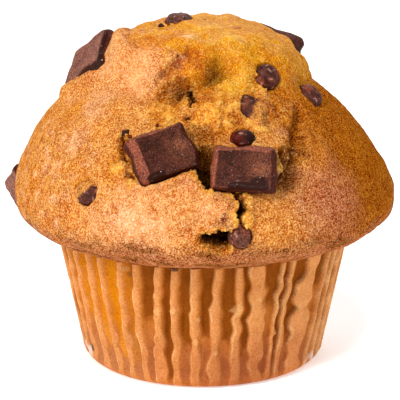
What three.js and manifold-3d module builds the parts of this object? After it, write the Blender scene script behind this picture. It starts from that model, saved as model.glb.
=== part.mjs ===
// A chocolate chunk muffin in its pleated paper case, standing on the case's flat base.
// Millimetres, +Z up, origin at the centre of the base. The front is -Y.
// A place on the muffin is an azimuth, in degrees from the front towards +X, and a height.

import * as THREE from "three";
import { mergeVertices } from "three/addons/utils/BufferGeometryUtils.js";
import Module from "manifold-3d";

const wasm = await Module();
wasm.setup();

// ---- Driving dimensions ----

const GAP = 0.3; // clearance where two pieces touch
const ROUNDING = 1e-3; // more than the rounding of a vertex's coordinates

// Paper case: a cup with a rounded base corner and pleats all round its wall
const CASE_FLAT_RADIUS = 22.3;
const CASE_CORNER_RADIUS = 2.65;
const CASE_CORNER_STEPS = 3;
const CASE_MOUTH_RADIUS = 29.7;
const CASE_HEIGHT = 26.0;
const CASE_WALL = 0.6;
const CASE_WALL_ROWS = 2;
const PLEATS = 44;
const PLEAT_DEPTH = 1.1;
const PLEAT_WANDER = 0.22; // how far a pleat strays sideways, as a part of its spacing
const PLEAT_WANDER_TURN = 2.4; // radians from one pleat's stray to the next, so none repeats soon

// Cap: a broad skirt that hangs over the case, with a domed crown on top of it
const RIM_RADIUS = 38.1; // widest place
const RIM_HEIGHT = 35.2;
const RIM_LOPSIDED = 0.3; // the right side reaches this much further than the mean
const SKIRT_RISE = 31.2; // from the rim to where the skirt alone would peak
const SKIRT_POWER = 1.58; // 1 is a cone and 2 is a round dome
const SKIRT_POWER_LOPSIDED = 0.13; // the left side is rounder by this much
const CROWN_RADIUS = 21.5;
const CROWN_FOOT_HEIGHT = 54.0;
const CROWN_RISE = 15.4;
const CROWN_POWER = 2.3;
const CROWN_BLEND = 1.6; // height over which skirt and crown flow together
const LIP_RADIUS = 30.5; // lower edge, where the overhang meets the case
const LIP_HEIGHT = 26.4;
const UNDERSIDE_POWER = 3.4;
const CORE_HEART = 36.0; // the relief pushes away from this point on the axis

const CAP_ROWS = 17;
const UNDERSIDE_ROWS = 4;
const MUFFIN_SEGMENTS = 60;
const CASE_SEGMENTS = 2 * PLEATS;

// Soft swellings (+) and hollows (-) of the crust: place, reach and height
const SWELLINGS = [
  { azimuth: -58, height: 64.0, reach: 10.0, rise: 2.4 }, // upper left lobe
  { azimuth: -84, height: 57.0, reach: 5.0, rise: -1.4 }, // ledge that carries a chunk
  { azimuth: 84, height: 57.5, reach: 7.0, rise: 1.0 }, // right shoulder of the crown
  { azimuth: -14, height: 38.5, reach: 9.0, rise: 1.0 }, // bulge under the front chunks
  { azimuth: 8, height: 55.0, reach: 6.0, rise: 1.3 }, // open crumb over the front chunks
  { azimuth: 38, height: 46.5, reach: 7.0, rise: 0.9 }, // ridge right of the crease
  { azimuth: 150, height: 56.0, reach: 8.0, rise: 1.2 },
  { azimuth: -155, height: 44.0, reach: 9.0, rise: 0.9 },
  { azimuth: 110, height: 44.0, reach: 9.0, rise: 0.5 },
];

// Creases of the crust: a line over the surface, with its half width and depth
const CREASES = [
  { line: [[3, 62], [2, 59], [-4, 56.5]], reach: 3.2, depth: 2.6 }, // valley of the crown
  { line: [[-40, 66], [-18, 65.5]], reach: 2.6, depth: 0.9 }, // step behind the lobe
  { line: [[44, 54], [34, 48.5], [26, 43.5], [18, 40]], reach: 2.4, depth: 1.0 },
  { line: [[172, 62], [160, 52], [150, 46]], reach: 3.2, depth: 1.8 },
];

// Cracks, cut as wedges along a line: half width at the surface and depth
const CRACK_END_WIDTH = 0.35; // at its ends a crack has this part of its width and depth
const CRACKS = [
  { line: [[-5, 58], [-6.5, 55.5], [-5, 53.5]], reach: 1.0, depth: 5 }, // slot under the crown
  { line: [[1, 50.5], [0.5, 47.5], [1, 44]], reach: 2.6, depth: 7 }, // hollow between chunks
  { line: [[8.5, 42.4], [10.5, 40], [9, 37.2], [9.5, 35.6]], reach: 0.9, depth: 5 },
  { line: [[2, 34.4], [6, 34.2]], reach: 1.6, depth: 5 }, // hole beside the low chip
  { line: [[176, 56], [168, 50], [161, 46]], reach: 1.1, depth: 5 },
];

// Chunks: outer face's middle, how proud it stands, which way it faces, and its size
const CHUNK_CORNER_RADIUS = 0.9;
const CHUNK_SLOPE_RUN = 1.2; // the sides slope in by this much
const CHUNK_SLOPE_DEPTH = 1.5;
const CHUNKS = [
  { name: "chunk_front_left", azimuth: -12.6, height: 48.2, proud: 2.2, faces: [12, 24], roll: 17,
    size: [12.0, 9.0, 5.4] },
  { name: "chunk_front_right", azimuth: 12.8, height: 45.6, proud: 2.6, faces: [-2, 26], roll: -2,
    size: [11.5, 8.4, 5.4] },
  { name: "chunk_upper_left", azimuth: -82.4, height: 58.8, proud: 3.3, faces: [-65, 35], roll: 34,
    size: [10.9, 11.1, 5.4] },
  { name: "chunk_upper_right", azimuth: 128, height: 62.4, proud: 1.2, faces: [148, 51], roll: 33,
    size: [12.0, 10.5, 5.4] },
  { name: "chunk_left_edge", azimuth: -98.5, height: 32.6, proud: 1.8, faces: [-55, -16], roll: 33,
    size: [11.0, 8.4, 5.4] },
  { name: "chunk_back_left", azimuth: -152, height: 49.5, proud: 2.0, faces: [-149, 33], roll: 20,
    size: [12.0, 10.4, 5.4] },
  { name: "chunk_back_right", azimuth: 156, height: 42.5, proud: 2.0, faces: [161, 20], roll: -14,
    size: [12.2, 10.8, 5.4] },
  { name: "chunk_back_top", azimuth: -168, height: 62.5, proud: 1.8, faces: [-165, 50], roll: 38,
    size: [11.0, 10.0, 5.2] },
];

// Chips: round drops, sunk in the crust to about half their depth
const CHIPS = [
  { name: "chip_crown", azimuth: 37, height: 59.8, proud: 1.7, radius: 2.7, depth: 2.2 },
  { name: "chip_torn", azimuth: 22, height: 54.8, proud: 1.1, radius: 2.6, depth: 2.0 },
  { name: "chip_shoulder", azimuth: 63.5, height: 55.2, proud: 1.7, radius: 2.4, depth: 2.5 },
  { name: "chip_left", azimuth: -36, height: 40.6, proud: 0.8, radius: 2.4, depth: 2.0 },
  { name: "chip_low", azimuth: 10.4, height: 34.2, proud: 0.4, radius: 2.3, depth: 1.9 },
  { name: "chip_melted", azimuth: 14.4, height: 50.6, proud: 1.2, radius: 2.0, depth: 1.7 },
  { name: "chip_top", azimuth: -66, height: 69.0, proud: 1.0, radius: 2.9, depth: 1.8 },
  { name: "chip_right_side", azimuth: 118, height: 46.0, proud: 1.0, radius: 2.5, depth: 2.0 },
  { name: "chip_left_side", azimuth: -118, height: 49.5, proud: 1.2, radius: 2.5, depth: 2.0 },
  { name: "chip_back_high", azimuth: 172, height: 55.0, proud: 1.2, radius: 2.6, depth: 2.1 },
  { name: "chip_back_low", azimuth: -168, height: 38.5, proud: 0.9, radius: 2.4, depth: 2.0 },
  { name: "chip_back_side", azimuth: 124, height: 37.0, proud: 0.8, radius: 2.4, depth: 2.0 },
];
const CHIP_SIDES = 10;
const CHIP_ROWS = 5;

// ---- Materials ----

const crustMaterial = new THREE.MeshStandardMaterial({ color: 0xd9924a, roughness: 0.6 });
const paperMaterial = new THREE.MeshStandardMaterial({ color: 0xd19a5c, roughness: 0.75 });
const chocolateMaterial = new THREE.MeshStandardMaterial({ color: 0x4a2a20, roughness: 0.5 });

// ---- The muffin's outline ----

const sideways = (azimuth) => Math.sin(THREE.MathUtils.degToRad(azimuth));
const rimRadius = (azimuth) => RIM_RADIUS + RIM_LOPSIDED * sideways(azimuth);
const skirtPower = (azimuth) => SKIRT_POWER - SKIRT_POWER_LOPSIDED * sideways(azimuth);

// The greater of two heights, with a fillet where they are nearly equal
function smoothMax(a, b, blend) {
  const overlap = Math.max(blend - Math.abs(a - b), 0);
  return Math.max(a, b) + (overlap * overlap) / (4 * blend);
}

// Height of the cap's top side at a fraction of the rim radius
function capHeight(azimuth, fraction) {
  const power = skirtPower(azimuth);
  const skirt = RIM_HEIGHT + SKIRT_RISE * (1 - fraction ** power) ** (1 / power);
  const out = (fraction * rimRadius(azimuth)) / CROWN_RADIUS;
  if (out >= 1) return skirt;
  const crown = CROWN_FOOT_HEIGHT + CROWN_RISE * (1 - out * out) ** (1 / CROWN_POWER);
  return smoothMax(skirt, crown, CROWN_BLEND);
}

// Radius of the overhang's underside at a height between the lip and the rim
function undersideRadius(azimuth, height) {
  const rim = rimRadius(azimuth);
  const drop = (RIM_HEIGHT - height) / (RIM_HEIGHT - LIP_HEIGHT);
  return rim - (rim - LIP_RADIUS) * drop ** UNDERSIDE_POWER;
}

// Radius of the crust at a height, with no relief
function crustRadius(azimuth, height) {
  if (height < RIM_HEIGHT) return undersideRadius(azimuth, height);
  const power = skirtPower(azimuth);
  const up = Math.min((height - RIM_HEIGHT) / SKIRT_RISE, 1);
  const skirt = rimRadius(azimuth) * (1 - up ** power) ** (1 / power);
  const lift = THREE.MathUtils.clamp((height - CROWN_FOOT_HEIGHT) / CROWN_RISE, 0, 1);
  const crown = height > CROWN_FOOT_HEIGHT ? CROWN_RADIUS * Math.sqrt(1 - lift ** CROWN_POWER) : 0;
  return Math.max(skirt, crown);
}

function polar(azimuth, radius, height) {
  const turn = THREE.MathUtils.degToRad(azimuth);
  return new THREE.Vector3(radius * Math.sin(turn), -radius * Math.cos(turn), height);
}

const heart = new THREE.Vector3(0, 0, CORE_HEART);
const onCrust = (azimuth, height) => polar(azimuth, crustRadius(azimuth, height), height);
const outward = (point) => point.clone().sub(heart).normalize();

// 1 at the middle of a feature, falling to 0 at its reach
function fall(distance, reach) {
  const t = Math.min(distance / reach, 1);
  return (1 - t * t) ** 2;
}

function distanceToLine(point, line) {
  const nearest = new THREE.Vector3();
  let best = Infinity;
  for (let i = 1; i < line.length; i += 1) {
    new THREE.Line3(line[i - 1], line[i]).closestPointToPoint(point, true, nearest);
    best = Math.min(best, nearest.distanceTo(point));
  }
  return best;
}

const liftedLine = (line) => line.map(([azimuth, height]) => onCrust(azimuth, height));
const creaseLines = CREASES.map((crease) => liftedLine(crease.line));

// How far the crust stands out (+) or in (-) at a point of the plain outline
function relief(point) {
  let sum = 0;
  for (const { azimuth, height, reach, rise } of SWELLINGS) {
    sum += rise * fall(point.distanceTo(onCrust(azimuth, height)), reach);
  }
  CREASES.forEach(({ reach, depth }, i) => {
    sum -= depth * fall(distanceToLine(point, creaseLines[i]), reach);
  });
  return sum;
}

// ---- Solids ----

// A lathe about +Z whose profile points are (radius, height), from the bottom to the top
function lathe(profile, segments) {
  const geometry = new THREE.LatheGeometry(profile, segments);
  geometry.rotateX(Math.PI / 2);
  return weld(geometry);
}

// Keeps positions only, merges the seam and poles, and drops the faces that vanish there
function weld(geometry) {
  geometry.deleteAttribute("normal");
  geometry.deleteAttribute("uv");
  const merged = mergeVertices(geometry, ROUNDING / 10);
  const faces = [];
  const index = merged.index.array;
  for (let i = 0; i < index.length; i += 3) {
    const [a, b, c] = [index[i], index[i + 1], index[i + 2]];
    if (a !== b && b !== c && c !== a) faces.push(a, b, c);
  }
  merged.setIndex(faces);
  return merged;
}

// Moves every vertex to the place that a function gives for it
function reshape(geometry, place) {
  const position = geometry.attributes.position;
  const vertex = new THREE.Vector3();
  for (let i = 0; i < position.count; i += 1) {
    vertex.fromBufferAttribute(position, i);
    const moved = place(vertex);
    position.setXYZ(i, moved.x, moved.y, moved.z);
  }
  return geometry;
}

function toSolid(geometry) {
  const vertProperties = new Float32Array(geometry.attributes.position.array);
  const triVerts = new Uint32Array(geometry.index.array);
  return new wasm.Manifold(new wasm.Mesh({ numProp: 3, vertProperties, triVerts }));
}

function toGeometry(solid) {
  const mesh = solid.getMesh();
  const geometry = new THREE.BufferGeometry();
  geometry.setAttribute("position", new THREE.BufferAttribute(mesh.vertProperties, 3));
  geometry.setIndex(new THREE.BufferAttribute(mesh.triVerts, 1));
  geometry.computeVertexNormals();
  return geometry;
}

// ---- Paper case ----

const wallRadius = (height) => {
  const foot = CASE_FLAT_RADIUS + CASE_CORNER_RADIUS;
  const up = (height - CASE_CORNER_RADIUS) / (CASE_HEIGHT - CASE_CORNER_RADIUS);
  return foot + (CASE_MOUTH_RADIUS - foot) * up;
};

// One face of the cup's wall, set in from the outer one, from the base up to the mouth
function cupLine(inset) {
  const line = [];
  for (let i = 0; i <= CASE_CORNER_STEPS; i += 1) {
    const turn = ((Math.PI / 2) * i) / CASE_CORNER_STEPS;
    const radius = CASE_CORNER_RADIUS - inset;
    line.push(new THREE.Vector2(
      CASE_FLAT_RADIUS + radius * Math.sin(turn),
      CASE_CORNER_RADIUS - radius * Math.cos(turn),
    ));
  }
  for (let i = 1; i <= CASE_WALL_ROWS; i += 1) {
    const height = THREE.MathUtils.lerp(CASE_CORNER_RADIUS, CASE_HEIGHT, i / CASE_WALL_ROWS);
    line.push(new THREE.Vector2(wallRadius(height) - inset, height));
  }
  return line;
}

// Folds the round wall into pleats: every second column goes in, and all of them stray a little
function foldPleat(vertex) {
  const radius = Math.hypot(vertex.x, vertex.y);
  if (radius <= CASE_FLAT_RADIUS + ROUNDING) return vertex;
  const azimuth = THREE.MathUtils.radToDeg(Math.atan2(vertex.x, -vertex.y));
  const column = Math.round((azimuth / 360) * CASE_SEGMENTS);
  const rise = Math.min(vertex.z / CASE_CORNER_RADIUS, 1);
  const depth = column % 2 === 0 ? 0 : PLEAT_DEPTH * rise;
  const pleat = Math.floor(column / 2);
  const stray = ((PLEAT_WANDER * 360) / PLEATS) * Math.sin(PLEAT_WANDER_TURN * pleat) * rise;
  return polar(azimuth + stray, radius - depth, vertex.z);
}

function paperCase() {
  const outer = cupLine(0);
  const inner = cupLine(CASE_WALL).reverse();
  const profile = [new THREE.Vector2(0, 0), ...outer, ...inner, new THREE.Vector2(0, CASE_WALL)];
  const geometry = reshape(lathe(profile, CASE_SEGMENTS), foldPleat);
  geometry.computeVertexNormals();
  const mesh = new THREE.Mesh(geometry, paperMaterial);
  mesh.name = "paper_case";
  return mesh;
}

// ---- Chunks and chips ----

// A slab of chocolate whose outer face lies at z = 0, with rounded corners and sloping sides.
// Grow makes it larger all round, for the pocket that it sits in.
function chunkGeometry([width, length, thickness], grow) {
  const x = width / 2 - CHUNK_SLOPE_RUN;
  const y = length / 2 - CHUNK_SLOPE_RUN;
  const r = CHUNK_CORNER_RADIUS;
  const outline = new THREE.Shape();
  outline.moveTo(-x, -y + r);
  outline.absarc(-x + r, -y + r, r, Math.PI, 1.5 * Math.PI);
  outline.absarc(x - r, -y + r, r, -0.5 * Math.PI, 0);
  outline.absarc(x - r, y - r, r, 0, 0.5 * Math.PI);
  outline.absarc(-x + r, y - r, r, 0.5 * Math.PI, Math.PI);
  const geometry = new THREE.ExtrudeGeometry(outline, {
    depth: thickness - 2 * CHUNK_SLOPE_DEPTH,
    bevelThickness: CHUNK_SLOPE_DEPTH + grow,
    bevelSize: CHUNK_SLOPE_RUN + grow,
    bevelSegments: 1,
    curveSegments: 1,
  });
  geometry.translate(0, 0, CHUNK_SLOPE_DEPTH - thickness);
  return weld(geometry);
}

// A round drop, flatter than a ball, whose top lies at z = 0
function chipGeometry(radius, depth, grow) {
  const geometry = new THREE.SphereGeometry(1, CHIP_SIDES, CHIP_ROWS);
  geometry.rotateX(Math.PI / 2);
  geometry.scale(radius + grow, radius + grow, depth + grow);
  geometry.translate(0, 0, -depth);
  return weld(geometry);
}

// The turn that points +Z at an azimuth and elevation, then rolls about that direction
function facing([azimuth, elevation], roll) {
  const level = THREE.MathUtils.degToRad(elevation);
  const normal = polar(azimuth, Math.cos(level), Math.sin(level));
  const right = polar(azimuth + 90, 1, 0);
  const up = new THREE.Vector3().crossVectors(normal, right);
  const basis = new THREE.Matrix4().makeBasis(right, up, normal);
  const turn = new THREE.Quaternion().setFromRotationMatrix(basis);
  const about = new THREE.Quaternion().setFromAxisAngle(
    new THREE.Vector3(0, 0, 1),
    THREE.MathUtils.degToRad(roll),
  );
  return turn.multiply(about);
}

// The way that the crust itself faces at a place
function crustFacing(azimuth, height) {
  const step = 0.5;
  const slope = (crustRadius(azimuth, height - step) - crustRadius(azimuth, height + step)) / (2 * step);
  return [azimuth, THREE.MathUtils.radToDeg(Math.atan(slope))];
}

function seated(name, geometryOf, { azimuth, height, proud }, faces, roll) {
  const turn = facing(faces, roll);
  const spot = onCrust(azimuth, height);
  spot.addScaledVector(new THREE.Vector3(0, 0, 1).applyQuaternion(turn), proud);
  const mesh = new THREE.Mesh(geometryOf(0), chocolateMaterial);
  mesh.geometry.computeVertexNormals();
  mesh.name = name;
  mesh.position.copy(spot);
  mesh.quaternion.copy(turn);
  mesh.updateMatrix();
  const pocket = geometryOf(GAP).applyMatrix4(mesh.matrix);
  return { mesh, pocket };
}

const chunk = (spec) =>
  seated(spec.name, (grow) => chunkGeometry(spec.size, grow), spec, spec.faces, spec.roll);

const chip = (spec) =>
  seated(spec.name, (grow) => chipGeometry(spec.radius, spec.depth, grow), spec,
    crustFacing(spec.azimuth, spec.height), 0);

// ---- Muffin ----

// From the middle of the underside up the filled case, out round the lip and over the cap
function muffinProfile() {
  const clear = PLEAT_DEPTH + CASE_WALL + GAP;
  const floor = CASE_WALL + GAP;
  const profile = [
    new THREE.Vector2(0, floor),
    new THREE.Vector2(CASE_FLAT_RADIUS - clear, floor),
    new THREE.Vector2(wallRadius(CASE_CORNER_RADIUS) - clear, CASE_CORNER_RADIUS + GAP),
    new THREE.Vector2(wallRadius(CASE_HEIGHT) - clear, CASE_HEIGHT),
    new THREE.Vector2(wallRadius(CASE_HEIGHT) - clear, LIP_HEIGHT),
  ];
  for (let i = 0; i < UNDERSIDE_ROWS; i += 1) {
    const height = THREE.MathUtils.lerp(LIP_HEIGHT, RIM_HEIGHT, i / UNDERSIDE_ROWS);
    profile.push(new THREE.Vector2(undersideRadius(0, height), height));
  }
  for (let i = 0; i < CAP_ROWS; i += 1) {
    const fraction = Math.cos(((Math.PI / 2) * i) / CAP_ROWS);
    profile.push(new THREE.Vector2(RIM_RADIUS * fraction, capHeight(0, fraction)));
  }
  profile.push(new THREE.Vector2(0, capHeight(0, 0)));
  return profile;
}

// Takes a vertex of the round lathe to the lopsided cap, and adds the relief
function shapeCap(vertex) {
  const radius = Math.hypot(vertex.x, vertex.y);
  if (vertex.z < LIP_HEIGHT + ROUNDING) return vertex;
  const azimuth = THREE.MathUtils.radToDeg(Math.atan2(vertex.x, -vertex.y));
  const above = vertex.z >= RIM_HEIGHT - ROUNDING;
  const fraction = Math.min(radius / RIM_RADIUS, 1);
  const point = above
    ? polar(azimuth, fraction * rimRadius(azimuth), capHeight(azimuth, fraction))
    : polar(azimuth, undersideRadius(azimuth, vertex.z), vertex.z);
  return point.addScaledVector(outward(point), relief(point));
}

// A wedge along a line over the crust, which closes at its depth. It is open twice as wide at the
// same distance above the crust, so that it has its stated width at the surface.
function crackWedge({ line, reach, depth }) {
  const path = new THREE.CatmullRomCurve3(liftedLine(line));
  const steps = 2 * line.length;
  const ring = [];
  for (let i = 0; i <= steps; i += 1) {
    const middle = path.getPoint(i / steps);
    const out = outward(middle);
    const along = path.getTangent(i / steps);
    const across = new THREE.Vector3().crossVectors(out, along).normalize();
    const taper = THREE.MathUtils.lerp(CRACK_END_WIDTH, 1, Math.sin((Math.PI * i) / steps));
    ring.push([
      middle.clone().addScaledVector(out, depth).addScaledVector(across, 2 * reach * taper),
      middle.clone().addScaledVector(out, depth).addScaledVector(across, -2 * reach * taper),
      middle.clone().addScaledVector(out, -depth * taper),
    ]);
  }
  return weld(prism(ring));
}

// Joins a row of three-cornered sections into one closed body
function prism(sections) {
  const last = sections.length - 1;
  const corners = sections.flat().flatMap((point) => point.toArray());
  const faces = [0, 2, 1, 3 * last, 3 * last + 1, 3 * last + 2];
  for (let i = 0; i < last; i += 1) {
    for (let k = 0; k < 3; k += 1) {
      const a = 3 * i + k;
      const b = 3 * i + ((k + 1) % 3);
      faces.push(a, b, a + 3, b, b + 3, a + 3);
    }
  }
  const geometry = new THREE.BufferGeometry();
  geometry.setAttribute("position", new THREE.Float32BufferAttribute(corners, 3));
  geometry.setIndex(faces);
  return geometry;
}

function muffin(pockets) {
  const blank = reshape(lathe(muffinProfile(), MUFFIN_SEGMENTS), shapeCap);
  let solid = toSolid(blank);
  for (const cutter of [...CRACKS.map(crackWedge), ...pockets]) {
    solid = solid.subtract(toSolid(cutter));
  }
  const mesh = new THREE.Mesh(toGeometry(solid), crustMaterial);
  mesh.name = "muffin";
  return mesh;
}

// ---- The whole ----

const pieces = [...CHUNKS.map(chunk), ...CHIPS.map(chip)];
const group = new THREE.Group();
group.add(paperCase());
group.add(muffin(pieces.map((piece) => piece.pocket)));
for (const piece of pieces) group.add(piece.mesh);

export default group;
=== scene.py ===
# %% [markdown]
# # A chocolate chunk muffin in its paper case
#
# The muffin is one lump of baked crumb with a domed cap that hangs over a pleated paper case. Square
# chunks and round chips of chocolate are stuck in it. The plain solids of the frame say where each
# piece lies and how large it is, and every piece made here replaces the solid of its own name.
#
# Every surface below is a function of two parameters, worked out with numpy as whole arrays in
# millimetres. A place on the muffin is an azimuth, in degrees from the front (-Y) towards +X, and a
# height.

import bpy
import numpy as np
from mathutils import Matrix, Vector


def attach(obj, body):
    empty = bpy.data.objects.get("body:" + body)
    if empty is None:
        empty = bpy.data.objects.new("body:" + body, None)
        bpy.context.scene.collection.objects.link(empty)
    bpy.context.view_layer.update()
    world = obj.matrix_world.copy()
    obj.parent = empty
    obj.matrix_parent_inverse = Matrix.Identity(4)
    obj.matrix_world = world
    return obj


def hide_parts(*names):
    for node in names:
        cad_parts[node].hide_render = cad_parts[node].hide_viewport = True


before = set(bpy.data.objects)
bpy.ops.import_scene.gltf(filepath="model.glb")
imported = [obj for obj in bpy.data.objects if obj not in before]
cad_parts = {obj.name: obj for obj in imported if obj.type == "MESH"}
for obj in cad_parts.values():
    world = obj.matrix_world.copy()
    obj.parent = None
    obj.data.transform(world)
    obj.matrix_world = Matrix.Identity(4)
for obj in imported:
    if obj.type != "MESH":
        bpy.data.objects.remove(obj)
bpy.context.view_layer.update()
MM = 0.001
scene = bpy.context.scene

# %% [markdown]
# ## Camera, light and floor
#
# The camera is a long lens 300 mm away, a little above level. A floor that curls up behind the
# object has no horizon line. A broad light from the upper left and a white room fill the shadows,
# and a smaller lamp gives the moist crown its glints. Soft boxes alone would leave the crumb's small
# hollows too black, so the room itself gives about half of the light.

# %% Camera
CAMERA_DISTANCE = 300.0
CAMERA_HEIGHT_ANGLE = np.radians(13.62)
CAMERA_TARGET = np.array([0.0, 0.0, 37.0])
CAMERA_AIM = np.array([-0.6, 0.0, 31.5])
LENS = 133.1

camera_back = np.array([0, -np.cos(CAMERA_HEIGHT_ANGLE), np.sin(CAMERA_HEIGHT_ANGLE)])
camera_place = CAMERA_TARGET + CAMERA_DISTANCE * camera_back
camera_data = bpy.data.cameras.new("camera")
camera_data.lens = LENS
camera_data.sensor_width = 36.0
camera_data.clip_start = 0.01
camera = bpy.data.objects.new("camera", camera_data)
camera.location = camera_place * MM
camera.rotation_euler = Vector(CAMERA_AIM - camera_place).to_track_quat("-Z", "Y").to_euler()
scene.collection.objects.link(camera)
scene.camera = camera
scene.view_settings.view_transform = "Standard"
print("camera at", camera_place.round(1), "mm")

# %% Lamps and room
LAMP_AIM = (0, 0, 40)


def soft_box(name, place, size, power):
    """A white square lamp at a place in millimetres, turned to the muffin's middle."""
    data = bpy.data.lights.new(name, "AREA")
    data.size = size * MM
    data.energy = power
    lamp = bpy.data.objects.new(name, data)
    lamp.location = Vector(place) * MM
    lamp.rotation_euler = (Vector(LAMP_AIM) - Vector(place)).to_track_quat("-Z", "Y").to_euler()
    scene.collection.objects.link(lamp)


soft_box("key_left", (-330, -420, 470), 200, 3.0)
soft_box("glint_top", (60, -330, 560), 60, 1.0)
soft_box("fill_right", (520, -380, 240), 420, 0.35)
soft_box("back_top", (60, 420, 420), 360, 1.0)

ROOM_LIGHT = 0.26
FLOOR_GLOW = 0.45
room = bpy.data.worlds.new("room")
room.use_nodes = True
room.node_tree.nodes["Background"].inputs["Color"].default_value = (1, 1, 1, 1)
room.node_tree.nodes["Background"].inputs["Strength"].default_value = ROOM_LIGHT
scene.world = room
print("lamps:", len(bpy.data.lights), " room light:", ROOM_LIGHT, " floor glow:", FLOOR_GLOW)

# %% [markdown]
# ## Arrays into meshes
#
# Blender can build a mesh face by face, but at this many faces that is slow. Here each surface is a
# lattice of points, its faces are index arrays, and `foreach_set` copies them over at once.

# %% Mesh helpers
def lattice_faces(rows, columns, wrap=True):
    """Quads of a lattice whose points are numbered row by row. Wrap joins the last column to the
    first one."""
    row = np.arange(rows - 1)[:, None]
    column = np.arange(columns if wrap else columns - 1)[None, :]
    after = (column + 1) % columns
    corners = [row * columns + column, row * columns + after,
               (row + 1) * columns + after, (row + 1) * columns + column]
    return np.stack(corners, axis=-1).reshape(-1, 4)


def fan_faces(ring, middle):
    """Triangles from one point to each step of a closed ring of points."""
    return np.stack([ring, np.roll(ring, -1), np.full(len(ring), middle)], axis=-1)


def new_piece(name, points, face_groups, material, attributes=None, body="root"):
    """Makes a smooth mesh object at the origin from points in mm and arrays of faces."""
    mesh = bpy.data.meshes.new(name)
    corners = np.concatenate([faces.ravel() for faces in face_groups])
    counts = np.concatenate([np.full(len(faces), faces.shape[1]) for faces in face_groups])
    starts = np.concatenate([[0], np.cumsum(counts)[:-1]])
    mesh.vertices.add(len(points))
    mesh.loops.add(len(corners))
    mesh.polygons.add(len(counts))
    mesh.vertices.foreach_set("co", (np.asarray(points) * MM).astype(np.float32).ravel())
    mesh.loops.foreach_set("vertex_index", corners.astype(np.int32))
    mesh.polygons.foreach_set("loop_start", starts.astype(np.int32))
    mesh.update(calc_edges=True)
    mesh.polygons.foreach_set("use_smooth", np.ones(len(counts), dtype=bool))
    for key, values in (attributes or {}).items():
        if values.ndim == 2:
            layer = mesh.attributes.new(key, "FLOAT_COLOR", "POINT")
            rgba = np.concatenate([values, np.ones((len(values), 1))], axis=1)
            layer.data.foreach_set("color", rgba.astype(np.float32).ravel())
        else:
            layer = mesh.attributes.new(key, "FLOAT", "POINT")
            layer.data.foreach_set("value", values.astype(np.float32))
    mesh.materials.append(material)
    piece = bpy.data.objects.new(name, mesh)
    scene.collection.objects.link(piece)
    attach(piece, body)
    triangles = int((counts - 2).sum())
    print(f"{name}: {triangles} triangles")
    return piece


def vertex_normals(points, face_groups):
    """Unit normals: the cross product of each face's diagonals, summed at its corners."""
    total = np.zeros_like(points)
    for faces in face_groups:
        a, b, c = (points[faces[:, k]] for k in range(3))
        d = points[faces[:, -1]]
        across = np.cross(c - a, (d if faces.shape[1] == 4 else c) - b)
        for k in range(faces.shape[1]):
            for axis in range(3):
                total[:, axis] += np.bincount(faces[:, k], across[:, axis], len(points))
    return total / np.linalg.norm(total, axis=1, keepdims=True).clip(1e-12)


# %% [markdown]
# ## Noise
#
# Crumb is uneven at every size, so each surface takes several kinds of noise. Blender's textures
# could displace a mesh, but arrays let one noise steer another: gradient noise for soft lumps,
# its octaves for rough ones, and the distance to scattered points for crumb that looks like
# packed grains.

# %% Noise in arrays
rng = np.random.default_rng(20)
NOISE_CELLS = 256
shuffled = rng.permutation(NOISE_CELLS)
directions = rng.normal(size=(NOISE_CELLS, 3))
directions /= np.linalg.norm(directions, axis=1, keepdims=True)
scattered = rng.random((NOISE_CELLS, 3))


def cell_number(cell):
    """A repeatable pseudo-random table index for each whole-number lattice cell."""
    x, y, z = (cell[..., k] % NOISE_CELLS for k in range(3))
    return shuffled[(shuffled[(shuffled[x] + y) % NOISE_CELLS] + z) % NOISE_CELLS]


def lumps(points, size, seed=0):
    """Gradient noise from about -1 to 1 with lumps about `size` mm apart: each lattice corner has a
    slope of its own, and the slopes are blended with a smooth step."""
    place = points / size + 17.3 * seed
    corner = np.floor(place).astype(np.int64)
    part = place - corner
    blend = part**3 * (part * (6 * part - 15) + 10)
    total = np.zeros(len(points))
    for step in np.ndindex(2, 2, 2):
        offset = np.array(step)
        slope = directions[cell_number(corner + offset)]
        weight = np.prod(np.where(offset == 1, blend, 1 - blend), axis=1)
        total += weight * np.sum(slope * (part - offset), axis=1)
    return 1.6 * total


def rough(points, size, octaves, seed=0):
    """Octaves of gradient noise, each half the size and half the height of the last."""
    return sum(0.5**k * lumps(points, size * 0.5**k, seed + 3 * k) for k in range(octaves))


def grains(points, size, seed=0):
    """Distance, in cells, to the nearest of the points scattered one to a lattice cell."""
    place = points / size + 11.9 * seed
    corner = np.floor(place).astype(np.int64)
    part = place - corner
    nearest = np.full(len(points), np.inf)
    for step in np.ndindex(3, 3, 3):
        offset = np.array(step) - 1
        seat = offset + scattered[cell_number(corner + offset)]
        nearest = np.minimum(nearest, np.linalg.norm(seat - part, axis=1))
    return nearest


def smooth_step(low, high, value):
    """0 below `low`, 1 above `high`, and a smooth rise between them."""
    t = np.clip((value - low) / (high - low), 0, 1)
    return t * t * (3 - 2 * t)


def fall(distance, reach):
    """1 at the middle of a feature, falling smoothly to 0 at its reach."""
    t = np.clip(distance / reach, 0, 1)
    return (1 - t * t) ** 2


# %% [markdown]
# ## The muffin's plain outline
#
# The cap is a broad skirt with a domed crown on it. The skirt is a superellipse: its height over the
# rim is the p-th root of one minus the p-th power of the distance from the axis, where p = 1 is a
# cone and p = 2 a round dome. The crown is a steeper dome on top of it, and a fillet joins them.
# Below the rim the crust turns under to the lip, and the rest of the crumb fills the case.

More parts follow.
